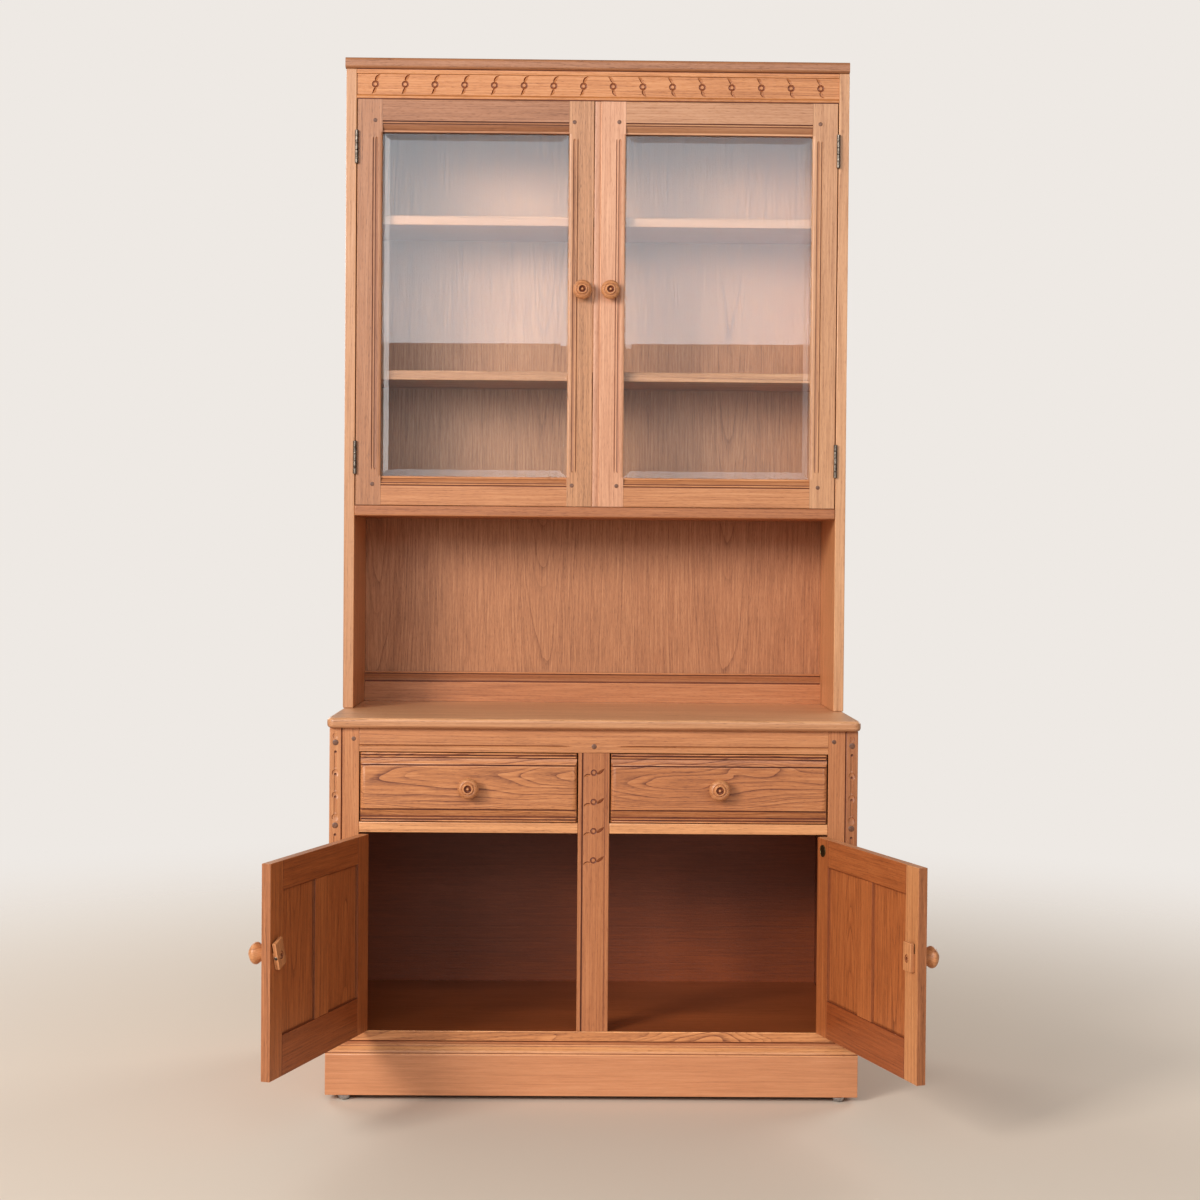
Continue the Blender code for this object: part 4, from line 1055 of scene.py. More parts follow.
def knob_rings(radius, height):
    """A turned knob from its foot: neck, cap, rim, cove, raised ring, sunk ring and button."""
    # Painted shade in the sunk ring and under the cove, painted highlights on the raised ring and
    # the button's rim.
    shares = ((0.46, 0.00), (0.44, 0.05), (0.445, 0.12), (0.50, 0.20), (0.62, 0.30), (0.76, 0.39),
              (0.90, 0.49), (0.975, 0.55), (1.00, 0.61), (0.985, 0.67), (0.93, 0.74),
              (0.84, 0.80), (0.74, 0.84), (0.67, 0.86, 0.2), (0.63, 0.84, 0.3),
              (0.585, 0.84, 0.15), (0.55, 0.88, -0.15), (0.50, 0.93, PAINTED_HIGHLIGHT), (0.44, 0.955, PAINTED_HIGHLIGHT),
              (0.38, 0.95, 0.3), (0.345, 0.91, 1.0), (0.31, 0.81, 1.0), (0.22, 0.79, 1.0),
              (0.15, 0.81, 1.0), (0.135, 0.90, -0.2), (0.12, 0.95, PAINTED_HIGHLIGHT), (0.07, 0.985, PAINTED_HIGHLIGHT))
    rings = [(radius * ring[0], height * ring[1], ring[2] if len(ring) > 2 else 0.0)
             for ring in shares]
    return rings + [(0.0, height)]


def knob(x, foot_y, z, radius, height, seed):
    made = turned([(0.0, 0.0)] + knob_rings(radius, height), 40, (x, foot_y, z), (0, -1, 0),
                  WAXED)
    return lay_grain(made, "Y", "Z", seed, "slash", tone=-0.04, pith=0.012)


def dress_knob(node, body, seed, share=0.5):
    """A knob of its solid's height. Its radius is a share of the solid's width."""
    low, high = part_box(node)
    made = knob((low.x + high.x) / 2, high.y, (low.z + high.z) / 2, (high.x - low.x) * share,
                high.y - low.y, seed)
    settle(made, node + "_turning", body, "waxed_elm", node)


def dress_drawer(hand, seed, tone):
    body = f"drawer_{hand}"
    node = f"drawer_{hand}_front"
    low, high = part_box(node)
    low.x, high.x = low.x - 0.5 * MM, high.x + 0.5 * MM
    front = moulding(drawer_section(low.y, high.y, low.z, high.z), low.x, high.x, "X",
                     WAXED_FIGURED)
    spare = 0.002
    cutters = []
    for sign, edge in ((-1, low.x), (1, high.x)):
        cutters.append(moulding(end_curve(edge, sign, low.y, spare), low.z - spare,
                                high.z + spare, "Z"))
    cut(front, *cutters)
    lay_grain(front, "X", "Y", seed, "slash", tone=tone, pith=0.022, spread=0.0)
    settle(front, node + "_board", body, "waxed_elm", node)
    dress_drawer_box(hand, seed + 3)
    dress_knob(f"drawer_{hand}_knob", body, seed + 9, 0.565)


def dress_drawer_box(hand, seed):
    """Four boards and a bottom."""
    node = f"drawer_{hand}_box"
    low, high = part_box(node)
    wall = 0.010
    left, right = low.x + wall, high.x - wall
    front, back = low.y + wall, high.y - wall
    boards = (
        ((low.x, low.y, low.z), (left, high.y, high.z), 0.0012, "Y", "X", 0, "rift", 0.0),
        ((right, low.y, low.z), (high.x, high.y, high.z), 0.0012, "Y", "X", 1, "rift", 0.0),
        ((left, low.y, low.z), (right, front, high.z), 0.0012, "X", "Y", 3, "rift", 0.0),
        ((left, back, low.z), (right, high.y, high.z - 0.004), 0.0012, "X", "Y", 4, "rift", 0.0),
        ((left, front, low.z + 0.002), (right, back, low.z + 0.008), 0.0004, "X", "Z", 5, "slash",
         0.04))
    parts = [lay_grain(plank(a, b, RAW_WOOD, ease), along, face, seed + number, cut_from,
                       tone=tone)
             for a, b, ease, along, face, number, cut_from, tone in boards]
    settle(join(*parts), node + "_boards", f"drawer_{hand}", "inside_elm", node)


# Cupboard doors, made shut and swung open at the end

def door_swing(sign):
    axis = Vector((sign * DOOR_AXIS_X, DOOR_AXIS_Y, 0.0))
    return (Matrix.Translation(axis) @ Matrix.Rotation(sign * DOOR_OPEN, 4, "Z")
            @ Matrix.Translation(-axis))


def door_plank(sign, start, end, low_z, high_z, finish, front=DOOR_FACE, back=DOOR_INSIDE,
               ease=0.0007):
    xs = sorted((sign * (DOOR_AXIS_X - start), sign * (DOOR_AXIS_X - end)))
    return plank((xs[0], front, low_z), (xs[1], back, high_z), finish, ease)


def dress_cupboard_door(hand, sign, seed):
    """Frame, panels, catch and hinges. The right door has a plain disc as well."""
    body = f"lower_door_{hand}"
    swing = door_swing(sign)
    hinge, free = 0.0009, 0.3956
    low, high = 0.1270, 0.4850
    stile, panel_low, panel_high = 0.046, low + 0.068, high - 0.049
    middle = (hinge + free) / 2
    post = (middle - 0.0275, middle + 0.0275)
    spindle, spindle_z = free - 0.023, 0.333

    def across(place):
        return sign * (DOOR_AXIS_X - place)

    hinge_stile = door_plank(sign, hinge, hinge + stile, low, high, WAXED)
    lay_grain(hinge_stile, "Z", "Y", seed, "rift", tone=-0.02)
    free_stile = door_plank(sign, free - stile, free, low, high, WAXED)
    cut(free_stile, spindle_bore(sign, spindle, spindle_z))
    lay_grain(free_stile, "Z", "Y", seed + 1, "rift", tone=-0.005 - 0.035 * sign)
    rails = []
    for i, (a, b) in enumerate(((low, panel_low), (panel_high, high))):
        rail = door_plank(sign, hinge + stile, free - stile, a, b, WAXED)
        rails.append(lay_grain(rail, "X", "Y", seed + 2 + i, "rift", tone=-0.33 + 0.20 * i))
    muntin = door_plank(sign, post[0], post[1], panel_low, panel_high, WAXED)
    lay_grain(muntin, "Z", "Y", seed + 5, "quarter", tone=0.04)
    door = join(hinge_stile, free_stile, *rails, muntin)
    edge_x = across(free)
    # Painted sheen: on the right door the free stile's inside keeps the paler waxed finish.
    sheen_width = stile if sign > 0 else 0.0
    paint_where(door, DOOR_INSIDE_WOOD,
                lambda c, n: c.y > DOOR_INSIDE - 0.0045 and abs(c.x - edge_x) > sheen_width)
    # Painted shade: the free edge gets the darker edge finish.
    paint_where(door, SHADED_DOOR_EDGE, lambda c, n: abs(c.x - edge_x) < 0.001)
    # Painted shade on the walls around the panels, inside the frame.
    xs = sorted((across(hinge + 0.002), across(free - 0.002)))
    paint_shading_where(door, 0.8, lambda c, n: abs(n.y) < 0.95 and xs[0] < c.x < xs[1]
                and low + 0.002 < c.z < high - 0.002)
    settle(move(door, swing), f"lower_door_{hand}_boards", body, "waxed_elm",
           f"lower_door_{hand}_frame")
    panels = []
    tongue, rim = 0.0077, 0.003
    centre = (DOOR_FACE + DOOR_INSIDE) / 2
    for i, (a, b) in enumerate(((hinge + stile, post[0]), (post[1], free - stile))):
        reach = (a - tongue, b + 0.02) if i == 0 else (a, b + tongue)
        panel = door_plank(sign, *reach, panel_low - tongue, panel_high + tongue, WAXED,
                           centre - 0.004, centre + 0.004, 0.0)
        seams = (across(a + rim), across(b - rim))
        rip(panel, "X", seams)
        rip(panel, "Z", (panel_low + rim, panel_high - rim))
        lay_grain(panel, "Z", "Y", seed + 6 + i, "slash", tip=1 - 2 * i, tone=-0.03 - 0.03 * i)
        # Painted shade on the panel's rim at the frame.
        paint_shading_where(panel, 0.5, lambda c, n, xs=sorted(seams): abs(n.y) > 0.5 and not (
            xs[0] < c.x < xs[1] and panel_low + rim < c.z < panel_high - rim))
        panels.append(panel)
    pair = join(*panels)
    paint_where(pair, DOOR_INSIDE_WOOD, lambda c, n: n.y > 0.5)
    settle(move(pair, swing), f"lower_door_{hand}_panels", body, "waxed_elm",
           f"lower_door_{hand}_panel")
    dress_catch(hand, sign, seed + 10, swing, spindle, spindle_z)
    if sign > 0:
        disc = turned([(0.0, 0.0), (0.0112, 0.0), (0.0112, 0.0006), (0.0106, 0.0012),
                       (0.0096, 0.0013), (0.0092, 0.0009), (0.0, 0.0009)], 40,
                      (across(0.024), DOOR_INSIDE, 0.463), (0, 1, 0), BRONZE)
        settle(move(disc, swing), f"lower_door_{hand}_plain_disc", body, "dark_hinge_metal")
    for level in ("bottom", "top"):
        node = f"lower_hinge_{hand}_{level}"
        low_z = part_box(node)[0].z
        dress_hinge(node, body, sign, (sign * DOOR_AXIS_X, DOOR_AXIS_Y), low_z, swing)


def spindle_bore(sign, spindle, spindle_z):
    # The bore's walls get painted shade.
    return turned([(0.0, -0.02), (0.0063, -0.02), (0.0063, 0.06), (0.0, 0.06)], 28,
                  (sign * (DOOR_AXIS_X - spindle), DOOR_FACE, spindle_z), (0, 1, 0), stain=1.0)


def dress_catch(hand, sign, seed, swing, spindle, spindle_z):
    """A knob whose spindle passes through the stile to a wooden button inside, fixed by a pin."""
    x = sign * (DOOR_AXIS_X - spindle)
    foot = DOOR_FACE - 0.0003
    half, thick = 0.0135, 0.009
    reach = DOOR_INSIDE + thick - foot
    handle = knob(x, foot, spindle_z, KNOB_R, KNOB_H, seed)
    # Painted shade in the small hole at the spindle's end.
    rod = turned([(0.0, 0.0), (0.006, 0.0), (0.006, reach - 0.0012), (0.0052, reach - 0.0004),
                  (0.0032, reach, 0.8), (0.0026, reach - 0.004, 1.0), (0.0, reach - 0.004)], 28,
                 (x, foot, spindle_z), (0, 1, 0), WAXED)
    lay_grain(rod, "Y", "Z", seed, "slash", pith=0.012, tone=-0.2)
    near, relief, face = DOOR_INSIDE + 0.0005, DOOR_INSIDE + 0.0026, DOOR_INSIDE + thick
    foot_z, root_z, tip_z = spindle_z - 0.0208, spindle_z + 0.0090, spindle_z + 0.0266
    # Painted shade on the button's relieved back above the spindle, in the gap against the door.
    section = [(near, foot_z), (near, root_z, 0.9), (relief, root_z + 0.0015, 0.9),
               (relief, tip_z), (face, tip_z), (face, foot_z)]
    button = moulding(section, x - half, x + half, "X", WAXED)
    bevelled(button, 0.0008, 2, 50.0)
    # The bore's walls get painted shade.
    cut(button, turned([(0.0, -0.006), (0.0063, -0.006), (0.0063, thick - 0.0010),
                        (0.0069, thick + 0.0002), (0.0069, 0.02), (0.0, 0.02)], 28,
                       (x, DOOR_INSIDE, spindle_z), (0, 1, 0), stain=1.0))
    lay_grain(button, "Z", "Y", seed + 1, "rift", tone=-0.06)
    # Painted light on the button's side: a highlight on the left door, shade on the right.
    paint_shading_where(button, -0.10 if sign < 0 else 0.32, lambda c, n: n.x * sign < -0.9)
    pin = turned([(0.0, -0.0006), (0.0031, -0.0006), (0.0031, 0.0003), (0.0025, 0.0009),
                  (0.0015, 0.0005), (0.0, 0.0005)], 20,
                 (x + half, DOOR_INSIDE + 0.0052, spindle_z), (1, 0, 0), HINGE_METAL)
    tilt = math.radians(20.0 if hand == "left" else 0.0) * -sign
    centre = Vector((x, 0.0, spindle_z))
    lean = (Matrix.Translation(centre) @ Matrix.Rotation(tilt, 4, "Y")
            @ Matrix.Translation(-centre))
    move(button, lean)
    move(pin, lean)
    settle(move(pin, swing), f"lower_door_{hand}_catch_pin", f"door_catch_{hand}",
           "dark_hinge_metal")
    settle(move(join(handle, rod, button), swing), f"lower_door_{hand}_catch",
           f"door_catch_{hand}", "waxed_elm", f"lower_door_{hand}_turn")


# Hinges

def knuckles(axis, low_z, numbers):
    """Parts of a hinge's barrel: five knuckles in its length, with rounded rims."""
    length = 0.064
    each = length / 5
    gap = 0.00018
    made = []
    for number in numbers:
        foot = low_z + number * each + gap
        tall = each - 2 * gap
        made.append(turned(
            [(0.0, 0.0), (0.0029, 0.0), (0.0035, 0.0006), (0.0035, tall - 0.0006),
             (0.0029, tall), (0.0, tall)], 20, (axis[0], axis[1], foot), (0, 0, 1), HINGE_METAL))
    return made


def hinge_half(axis, low_z, back, side, numbers):
    """Some of the knuckles, with a leaf and its screws on one side of the axis."""
    xs = sorted((axis[0] + side * 0.0001, axis[0] + side * 0.00085))
    leaf = plank((xs[0], axis[1], low_z + 0.001), (xs[1], back, low_z + 0.063), HINGE_METAL,
                 0.0002, 1)
    return join(*knuckles(axis, low_z, numbers), leaf, leaf_screws(axis, low_z, back, side))


def dress_hinge(node, body, sign, axis, low_z, swing=None):
    """Door half with three knuckles, and the fixed half with two, both with their leaves."""
    back = (FRAME_FRONT if swing else GLAZED_FRONT) + HINGE_LEAF
    door_half = hinge_half(axis, low_z, back, -sign, (0, 2, 4))
    if swing:
        move(door_half, swing)
    settle(door_half, node + "_door_half", body, "dark_hinge_metal", node)
    settle(hinge_half(axis, low_z, back, sign, (1, 3)), node + "_fixed_half", "carcase",
           "dark_hinge_metal")


def leaf_screws(axis, low_z, back, side):
    """Three countersunk screws down a leaf, on the face that meets the other leaf."""
    middle = (axis[1] + 0.004 + back) / 2
    return fixings(SCREW, HINGE_METAL,
                   [((axis[0] + side * 0.0006, middle + step, low_z + level),
                     (-side, 0.0, 0.0), 4.2 * MM)
                    for level, step in ((0.010, -0.001), (0.032, 0.0015), (0.054, -0.001))])


# Display top

def dress_display_carcase():
    for hand, sign in (("left", -1), ("right", 1)):
        node = f"display_side_{hand}"
        low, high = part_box(node)
        side = plank(low, high, WAXED_LIGHT, ease=0.0016)
        lay_grain(side, "Z", "X", 70 + sign, "rift", tone=0.06 + 0.08 * sign, spread=0.0)
        # Painted highlight on the inner front arris.
        paint_shading_where(side, PAINTED_HIGHLIGHT, lambda c, n, s=sign: n.x * s < -0.3 and n.y < -0.3)
        paint_where(side, WAXED, lambda c, n, s=sign: n.x * s < -0.9)
        settle(side, node + "_board", "carcase", "waxed_elm", node)
    low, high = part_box("cornice_board")
    low.x, high.x = low.x + 1.0 * MM, high.x - 3.0 * MM
    shape = [(low.y + 4 * MM, low.z), (high.y, low.z), (high.y, high.z)]
    shape += arc((low.y + 6.5 * MM, high.z - 6 * MM), (6.5 * MM, 6 * MM), 90, 180, 8)
    shape += arc((low.y + 5.5 * MM, low.z + 5 * MM), (5.5 * MM, 5 * MM), 180, 250, 6)
    cornice = moulding(shape, low.x, high.x, "X", WAXED_BROWN)
    lay_grain(cornice, "X", "Z", 73, "rift", tone=-0.15)
    settle(cornice, "cornice_board_piece", "carcase", "waxed_elm", "cornice_board")
    low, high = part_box("recess_shelf")
    shelf = plank(low, high, WAXED, ease=0.002, segments=3)
    lay_grain(shelf, "X", "Z", 74, "rift", tone=-0.30)
    # Painted shadow along the top front arris, under the door gap.
    paint_shading_where(shelf, 0.8, lambda c, n: n.z > 0.3 and n.y < -0.3)
    settle(shelf, "recess_shelf_board", "carcase", "waxed_elm", "recess_shelf")
    for seed, level in enumerate(("lower", "upper"), 75):
        plain_board(f"display_shelf_{level}", INSIDE, 0.0015, ("X", "Z", seed, "rift"))
    dress_display_back()
    dress_upstand()
    dress_frieze()


def dress_display_back():
    """Leaves of veneer side by side, each with its arched figure running the whole height."""
    low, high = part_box("display_back")
    seams = [low.x, -0.2925, 0.0845, high.x]
    hearts = (-0.440, -0.104, 0.273)
    leaves = []
    for i, (a, b) in enumerate(zip(seams, seams[1:])):
        # The right-hand leaf is toned darker: painted shade against the stronger light on that
        # side.
        leaf = plank((a, low.y, low.z), (b, high.y, high.z), INSIDE, ease=0)
        leaves.append(lay_grain(leaf, "Z", "Y", 80 + i, "slash", tip=-0.9, heart=hearts[i],
                                pith=0.045, tone=(0.0, 0.0, -0.10)[i], spread=0.03))
    settle(join(*leaves), "display_back_leaves", "carcase", "inside_elm", "display_back")


def dress_upstand():
    """From the top: a bead, a cove between two quirks, a fillet, and a plain face."""
    low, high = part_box("back_upstand")
    front = low.y

    def place(depth, down, stain=0.0):
        return (front + depth * MM, high.z - down * MM, stain)

    # Painted highlights on the bead and the lower arris, painted shade in both quirks and lighter
    # painted shade in the cove.
    section = [(high.y, high.z), place(8.0, 0.0, PAINTED_HIGHLIGHT)]
    section += [place(7.0 - 1.6 * math.sin(math.pi * step / 6),
                      1.7 - 1.7 * math.cos(math.pi * step / 6), 1.0 if step == 5 else PAINTED_HIGHLIGHT)
                for step in range(1, 6)]
    section += [place(8.6, 3.5, 1.0), place(8.6, 5.0, 1.0), place(6.4, 5.2, 0.3)]
    section += [place(6.2 + 2.0 * math.sin(math.pi * 0.5 * step / 6), 5.3 + 12.5 * step / 6,
                      1.0 if step == 6 else 0.45 - 0.05 * step) for step in range(1, 7)]
    section += [place(8.4, 18.0, 1.0), place(8.4, 20.2, 1.0), place(0.8, 20.5, PAINTED_HIGHLIGHT),
                place(0.1, 21.2, -0.15), place(0.0, 22.5), (front, low.z), (high.y, low.z)]
    upstand = moulding(section, low.x, high.x, "X", WAXED)
    lay_grain(upstand, "X", "Y", 84, "rift", tone=-0.20)
    settle(upstand, "back_upstand_moulding", "carcase", "waxed_elm", "back_upstand")


def dress_frieze():
    """A sunk band between a strip and a ledge, carved with sixteen rings and their flicks."""
    low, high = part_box("frieze_rail")
    front, sunk = low.y, low.y + 3 * MM
    # Painted shade under the ledge, on the sunk band's top and under the cornice, painted
    # highlights on the arrises.
    section = [(high.y, low.z, 1.0), (front + 1.5 * MM, low.z, 1.0),
               (front + 1.5 * MM, low.z + 1.2 * MM, 1.0),
               (front + 0.3 * MM, low.z + 1.4 * MM, PAINTED_HIGHLIGHT),
               (front, low.z + 2.0 * MM), (front, low.z + 5.0 * MM, PAINTED_HIGHLIGHT),
               (front + 1.0 * MM, low.z + 6.0 * MM, 0.2), (sunk, low.z + 8.6 * MM),
               (sunk, high.z - 9.3 * MM, 0.8), (front + 0.5 * MM, high.z - 9.0 * MM, PAINTED_HIGHLIGHT),
               (front, high.z - 8.4 * MM), (front, high.z - 1.4 * MM, 1.0),
               (front + 1.2 * MM, high.z - 1.2 * MM, 1.0), (front + 1.2 * MM, high.z),
               (high.y, high.z)]
    rail = moulding(section, low.x, high.x, "X", WAXED_AMBER)
    middle, pitch = 1.8945, 0.057
    upper = ((0.2, 5.6, 0.8, 0.9), (0.8, 8.2, 2.4, 2.2), (2.2, 11.4, 3.3, 2.6),
             (4.4, 14.6, 3.0, 2.2), (7.2, 17.2, 1.6, 1.1), (9.2, 18.2, 0.5, 0.4))
    lower = ((-0.2, -5.6, 0.8, 0.9), (-0.2, -8.0, 2.5, 2.2), (-1.0, -11.2, 3.4, 2.6),
             (-2.8, -14.4, 2.7, 2.2), (-5.2, -17.2, 1.3, 1.3), (-6.8, -18.4, 0.4, 0.5))
    for sign in (-1, 1):
        flicks = join(*(gouge_mm([(-sign * x, *rest) for x, *rest in path], 0.0, walls)
                        for path, walls in ((upper, LEAF), (lower, LEAF_BACK))))
        row = motif_row(flicks, 8, (sign * pitch / 2, sunk, middle), (sign * pitch, 0.0, 0.0),
                        4.97 * MM, 1.9 * MM)
        cut(rail, row)
        discard(flicks)
    lay_grain(rail, "X", "Y", 90, "rift", tone=-0.08)
    settle(rail, "frieze_rail_carved", "carcase", "waxed_elm", "frieze_rail")


# Glazed doors

def glazed_stile(outer, sight, low, high, glass_low, glass_high, meeting, bead, finish, seed,
                 tone):
    """A stile from its outer edge to the glass, with a stopped hollow and groove beside it."""
    inward = 1.0 if sight > outer else -1.0
    face = GLAZED_FRONT
    bed = sight - inward * PANE_BED
    section = [(outer, GLAZED_BACK), (outer, face + 0.8 * MM), (outer + inward * 0.8 * MM, face)]
    # Light painted shade on the bead, deeper in its quirk, and a painted highlight on the arris
    # beyond.
    if bead:
        quirk = outer + inward * bead
        section[1:] = [(outer, face + 2.0 * MM, 0.1),
                       (outer + inward * 1.0 * MM, face + 1.3 * MM, 0.2),
                       (quirk - inward * 2.0 * MM, face + 1.0 * MM, 0.2),
                       (quirk - inward * 0.7 * MM, face + 1.5 * MM, 0.7),
                       (quirk, face + 1.5 * MM, PAINTED_HIGHLIGHT),
                       (quirk + inward * 0.5 * MM, face + 0.5 * MM, PAINTED_HIGHLIGHT),
                       (quirk + inward * 1.5 * MM, face)]
    section += [(sight, face), (sight, PANE_SLOT_FRONT), (bed, PANE_SLOT_FRONT),
                (bed, PANE_SLOT_BACK), (sight, PANE_SLOT_BACK), (sight, GLAZED_BACK)]
    stile = moulding(section, low, high, "Z", finish)
    wide, deep, spare = 6.2 * MM, 3.0 * MM, 2 * MM
    arris = [(sight + inward * spare, face - spare), (sight - inward * wide, face - spare)]
    arris += arc((sight - inward * wide, face + deep), (inward * wide, deep), -90, 0)
    arris.append((sight + inward * spare, face + deep))
    cutters = [moulding(arris, glass_low, glass_high, "Z")]
    foot = glass_low + (8.7 if meeting else 11.5) * MM
    for away, half, section in ((10.8, 2.8, HOLLOW), (17.3, 1.2, REED)):
        x = sight - inward * away * MM
        cutters.append(straight_gouge((x, foot), (x, glass_high - 9.5 * MM), half * MM,
                                      1.9 * MM, face, section))
    cut(stile, *cutters)
    lay_grain(stile, "Z", "Y", seed, "rift", tone=tone, spread=0.0)
    return stile


def glazed_rail(outer, sight, plain, low_x, high_x, finish, seed, tone):
    """A rail: a plain face, a quirk, a bead, a quirk, a hollow, and a nosing at the glass."""
    way = 1.0 if sight > outer else -1.0
    face = GLAZED_FRONT
    bed = sight - way * PANE_BED
    run = (abs(sight - outer) - plain) / MM
    start = outer + way * plain

    def place(depth, inwards, stain=0.0):
        return (face + depth * MM, start + way * inwards * MM, stain)

    # Painted shade in the quirks and on the wall down to the glass, painted highlights on the bead
    # and the nosing, and light painted shade in the hollow.
    section = [(GLAZED_BACK, outer), (face + 0.8 * MM, outer), (face, outer + way * 0.8 * MM),
               place(0.0, 0.0, 1.0), place(3.0, 0.4, 1.0), place(3.0, 2.0, 1.0),
               place(1.2, 2.3, PAINTED_HIGHLIGHT)]
    section += [place(1.1 - 1.0 * math.sin(math.pi * i / 6), 3.7 - 1.3 * math.cos(math.pi * i / 6),
                      1.0 if i == 6 else PAINTED_HIGHLIGHT) for i in range(7)]
    section += [place(2.8, 5.2, 1.0), place(2.8, 6.4, 0.8)]
    section += [place(1.6 + 4.8 * (i / 7) ** 1.3, 6.7 + (run - 11.1) * i / 7,
                      0.8 if i == 7 else 0.3) for i in range(8)]
    section += [place(5.4, run - 4.1, PAINTED_HIGHLIGHT), place(5.1, run - 3.4, PAINTED_HIGHLIGHT),
                place(5.3, run - 0.8, 0.3), place(6.2, run, 1.0), (PANE_SLOT_FRONT, sight),
                (PANE_SLOT_FRONT, bed), (PANE_SLOT_BACK, bed), (PANE_SLOT_BACK, sight),
                (GLAZED_BACK, sight)]
    rail = moulding(section, low_x, high_x, "X", finish)
    lay_grain(rail, "X", "Y", seed, "rift", tone=tone, spread=0.0)
    return rail


def dress_glazed_door(hand, sign, seed, hinge, meeting, top, bottom):
    """Each of the four boards is given as its finish and its tone."""
    body = f"glazed_door_{hand}"
    glass_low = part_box(f"glazed_door_{hand}_bottom_rail")[1].z
    glass_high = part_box(f"glazed_door_{hand}_top_rail")[0].z
    for i, (place, (finish, tone)) in enumerate((("hinge", hinge), ("meeting", meeting))):
        node = f"glazed_door_{hand}_{place}_stile"
        low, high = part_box(node)
        outer, sight = (low.x, high.x) if (sign < 0) == (place == "hinge") else (high.x, low.x)
        bead = 0.0115 if place == "meeting" and sign > 0 else 0.0
        stile = glazed_stile(outer, sight, low.z, high.z, glass_low, glass_high,
                             place == "meeting", bead, finish, seed + i, tone)
        settle(stile, node + "_board", body, "waxed_elm", node)
    for level, plain, (finish, tone) in (("top", 0.0405, top), ("bottom", 0.037, bottom)):
        node = f"glazed_door_{hand}_{level}_rail"
        low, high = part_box(node)
        outer, sight = (high.z, low.z) if level == "top" else (low.z, high.z)
        rail = glazed_rail(outer, sight, plain, low.x, high.x, finish, seed + len(level), tone)
        settle(rail, node + "_board", body, "waxed_elm", node)
    dress_glass(hand, body)
    dress_knob(f"glazed_door_{hand}_knob", body, seed + 7)
    for level in ("bottom", "top"):
        node = f"glazed_hinge_{hand}_{level}"
        down = (7.6 if level == "top" else 6.2) * MM
        dress_hinge(node, body, sign, (sign * GLAZED_AXIS[0], GLAZED_AXIS[1]),
                    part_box(node)[0].z - down)


def dress_glass(hand, body):
    """A pane bevelled on its front all round."""
    node = f"glazed_door_{hand}_glass"
    low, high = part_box(node)
    bevel, thin = 0.0195, 0.0015
    shape = bmesh.new()
    rings = []
    for inset, y in ((0.0, high.y), (0.0, high.y - thin), (bevel, low.y)):
        corners = ((low.x + inset, low.z + inset), (high.x - inset, low.z + inset),
                   (high.x - inset, high.z - inset), (low.x + inset, high.z - inset))
        rings.append([shape.verts.new((x, y, z)) for x, z in corners])
    shape.faces.new(rings[0])
    shape.faces.new(rings[2])
    for back, front in zip(rings, rings[1:]):
        for i in range(4):
            j = (i + 1) % 4
            shape.faces.new((back[i], back[j], front[j], front[i]))
    pane = solid("pane", shape, GLASS)
    settle(pane, node + "_bevelled", body, "clear_glass", node)


# Pegs

def dress_pegs(side_pegs):
    base = list(side_pegs)
    base += [((0.0, FRAME_FRONT, TOP_RAIL_GROOVE_Z), FORWARD, 9.5 * MM)]
    base += [((sign * 0.437, FRAME_FRONT, 0.657), FORWARD, 8 * MM) for sign in (-1, 1)]
    pegs = fixings(PEG, PEG_WOOD, base)
    lay_grain(pegs, "Y", "Z", 201, "slash", pith=0.02)
    settle(pegs, "base_pegs", "carcase", "waxed_elm")
    for hand, sign, spots in (
            ("left", -1, ((-0.4273, 1.825), (-0.0452, 1.825), (-0.429, 1.128), (-0.0452, 1.128))),
            ("right", 1, ((0.4273, 1.826), (0.0407, 1.826), (0.429, 1.128), (0.0407, 1.128)))):
        pegs = fixings(PEG, PEG_WOOD,
                       [((x, GLAZED_FRONT, z), FORWARD, 8.0 * MM) for x, z in spots])
        lay_grain(pegs, "Y", "Z", 202 + sign, "slash", pith=0.02)
        settle(pegs, f"glazed_door_{hand}_pegs", f"glazed_door_{hand}", "waxed_elm")


def dress_all():
    dress_glides()
    dress_plinth()
    side_pegs = dress_base_sides()
    dress_base_frame()
    dress_base_inside()
    dress_worktop()
    dress_drawer("left", 105, -0.10)
    dress_drawer("right", 128, -0.20)
    dress_cupboard_door("left", -1, 140)
    dress_cupboard_door("right", 1, 160)
    dress_display_carcase()
    dress_glazed_door("left", -1, 180, (WAXED_BROWN, -0.10), (WAXED_BROWN, 0.21),
                      (WAXED_BROWN, -0.16), (WAXED, -0.12))
    dress_glazed_door("right", 1, 190, (WAXED_LIGHT, 0.06), (WAXED_PALE, -0.15),
                      (WAXED_LIGHT, -0.10), (WAXED, -0.08))
    dress_pegs(side_pegs)


dress_all()
discard(PEG, SCREW)


# Floor, light and camera

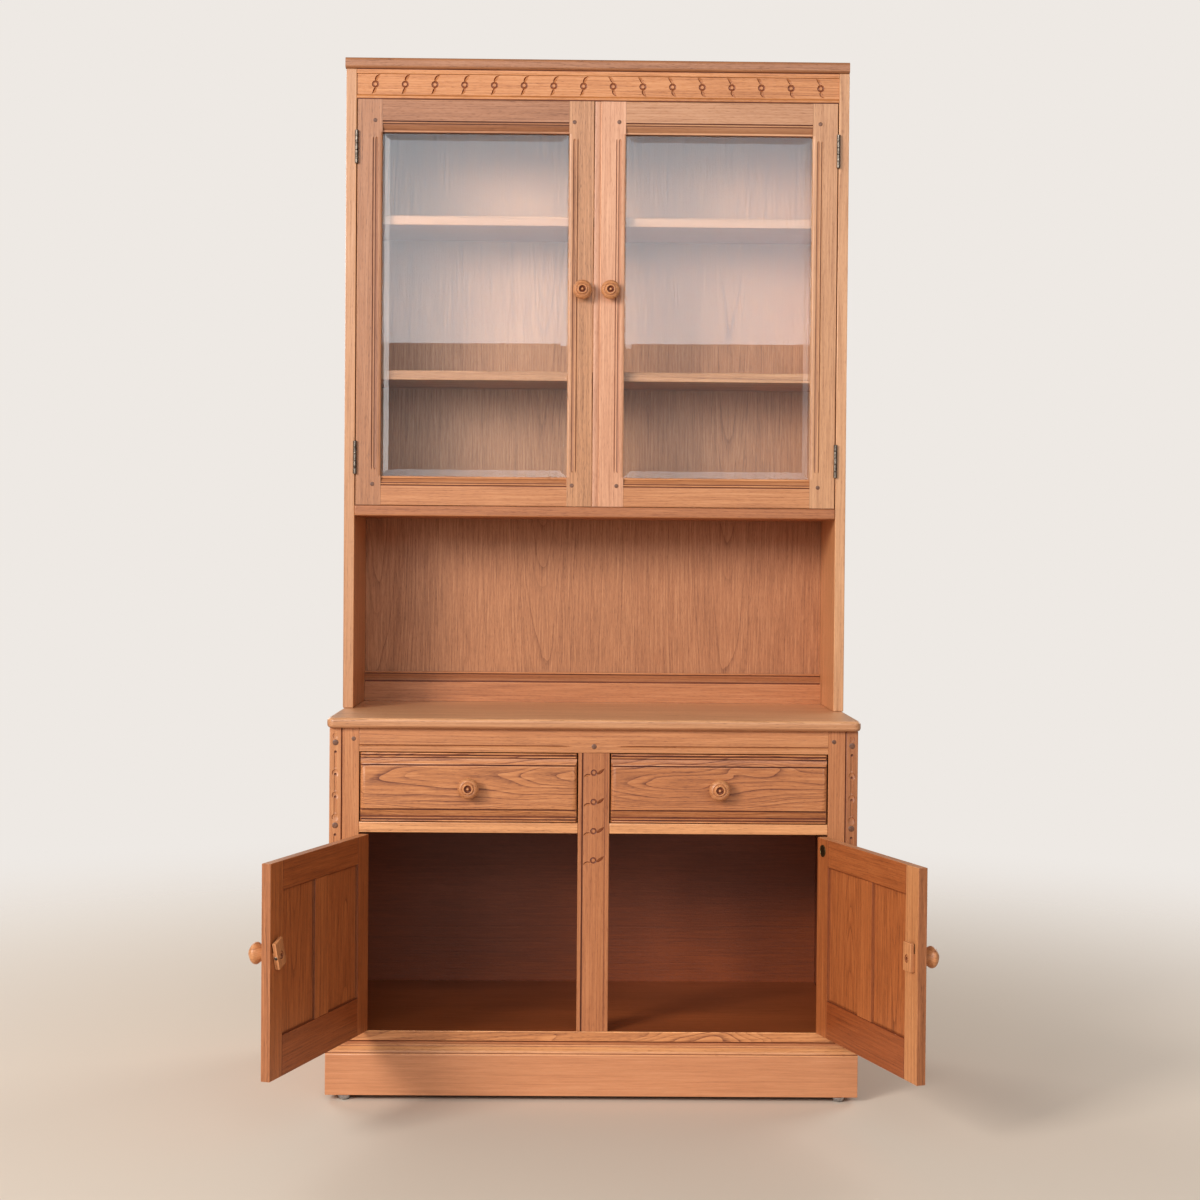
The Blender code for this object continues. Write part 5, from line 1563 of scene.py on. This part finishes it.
def pale_floor():
    """A plain pale floor that fades out at its rim."""
    finish, tree, shader = new_finish("pale_floor")
    shader.inputs["Base Color"].default_value = (*srgb(222, 206, 188), 1.0)
    shader.inputs["Roughness"].default_value = 0.75
    place = add(tree, "ShaderNodeTexCoord").outputs["Object"]
    away = add(tree, "ShaderNodeVectorMath", {0: place}, operation="LENGTH").outputs["Value"]
    fade = add(tree, "ShaderNodeMapRange",
               {"Value": away, "From Min": 0.9, "From Max": 3.6}, interpolation_type="SMOOTHSTEP")
    clear = add(tree, "ShaderNodeBsdfTransparent")
    blend(tree, fade.outputs["Result"], shader, clear)
    shape = bmesh.new()
    bmesh.ops.create_circle(shape, cap_ends=True, segments=96, radius=3.7)
    floor = solid("floor", shape, finish)
    if floor.data.polygons[0].normal.z < 0:
        floor.data.flip_normals()


def through_a_pane(tree):
    """1 for a ray that has met nothing but glass, which sees the pale room and no lamp."""
    path = add(tree, "ShaderNodeLightPath").outputs
    first = calc(tree, "LESS_THAN", path["Diffuse Depth"], 0.5)
    return calc(tree, "MULTIPLY", path["Is Transmission Ray"], first)


def soft_world():
    world = bpy.data.worlds.new("studio")
    world.use_nodes = True
    tree = world.node_tree
    back = tree.nodes["Background"]
    seen = add(tree, "ShaderNodeBackground", {"Color": (*srgb(238, 233, 228), 1.0),
                                               "Strength": 1.0})
    back.inputs["Color"].default_value = (*srgb(240, 236, 232), 1.0)
    back.inputs["Strength"].default_value = 0.30
    camera_ray = add(tree, "ShaderNodeLightPath").outputs["Is Camera Ray"]
    direct = calc(tree, "MAXIMUM", camera_ray, through_a_pane(tree))
    blend(tree, direct, back, seen, "World Output")
    bpy.context.scene.world = world


def soft_box(name, place, target, width, height, power, colour=WHITE):
    data = bpy.data.lights.new(name, "AREA")
    data.shape = "RECTANGLE"
    data.size = width
    data.size_y = height
    data.energy = power
    data.color = colour
    data.use_nodes = True
    tree = data.node_tree
    tree.links.new(calc(tree, "SUBTRACT", 1.0, through_a_pane(tree)),
                   tree.nodes["Emission"].inputs["Strength"])
    lamp = bpy.data.objects.new(name, data)
    bpy.context.scene.collection.objects.link(lamp)
    lamp.location = place
    way = Vector(target) - Vector(place)
    lamp.rotation_mode = "QUATERNION"
    lamp.rotation_quaternion = way.to_track_quat("-Z", "Y")


def stand_camera():
    yaw, pitch, roll = -0.0115, -0.0189, 0.0082
    level = Matrix(((math.cos(yaw), math.sin(yaw), 0), (-math.sin(yaw), math.cos(yaw), 0),
                    (0, 0, 1)))
    nod = Matrix(((1, 0, 0), (0, math.cos(pitch), math.sin(pitch)),
                  (0, -math.sin(pitch), math.cos(pitch))))
    right, ahead, up = (nod @ level)[0], (nod @ level)[1], (nod @ level)[2]
    screen_right = right * math.cos(roll) + up * math.sin(roll)
    screen_up = up * math.cos(roll) - right * math.sin(roll)
    matrix = Matrix((screen_right, screen_up, -ahead)).transposed().to_4x4()
    data = bpy.data.cameras.new("camera")
    data.sensor_width = 36.0
    data.lens = 2057.4 / 1200 * 36.0
    data.clip_end = 100.0
    camera = bpy.data.objects.new("camera", data)
    bpy.context.scene.collection.objects.link(camera)
    camera.matrix_world = Matrix.Translation((-0.0346, -3.7777, 0.9832)) @ matrix
    bpy.context.scene.camera = camera


pale_floor()
soft_world()
soft_box("key", (-4.2, -4.6, 3.0), (0.0, 0.0, 0.9), 1.8, 1.8, 270.0, (1.0, 0.97, 0.94))
soft_box("front_panel", (0.2, -4.7, 2.9), (0.0, 0.0, 1.3), 3.0, 2.0, 64.0, (0.87, 0.94, 1.0))
soft_box("front_left", (-2.7, -4.6, 2.2), (0.0, 0.0, 0.9), 1.8, 2.2, 80.0, (1.0, 0.98, 0.96))
soft_box("front_right", (2.8, -4.4, 2.0), (0.0, 0.0, 0.9), 1.6, 2.0, 22.0, (1.0, 0.98, 0.96))
soft_box("back_left", (-2.5, 3.6, 2.4), (0.0, 0.2, 0.9), 2.0, 2.0, 60.0)
soft_box("back_right", (3.0, 3.0, 2.2), (0.0, 0.2, 0.9), 2.0, 2.0, 60.0)
stand_camera()
bpy.context.scene.view_settings.view_transform = "Standard"
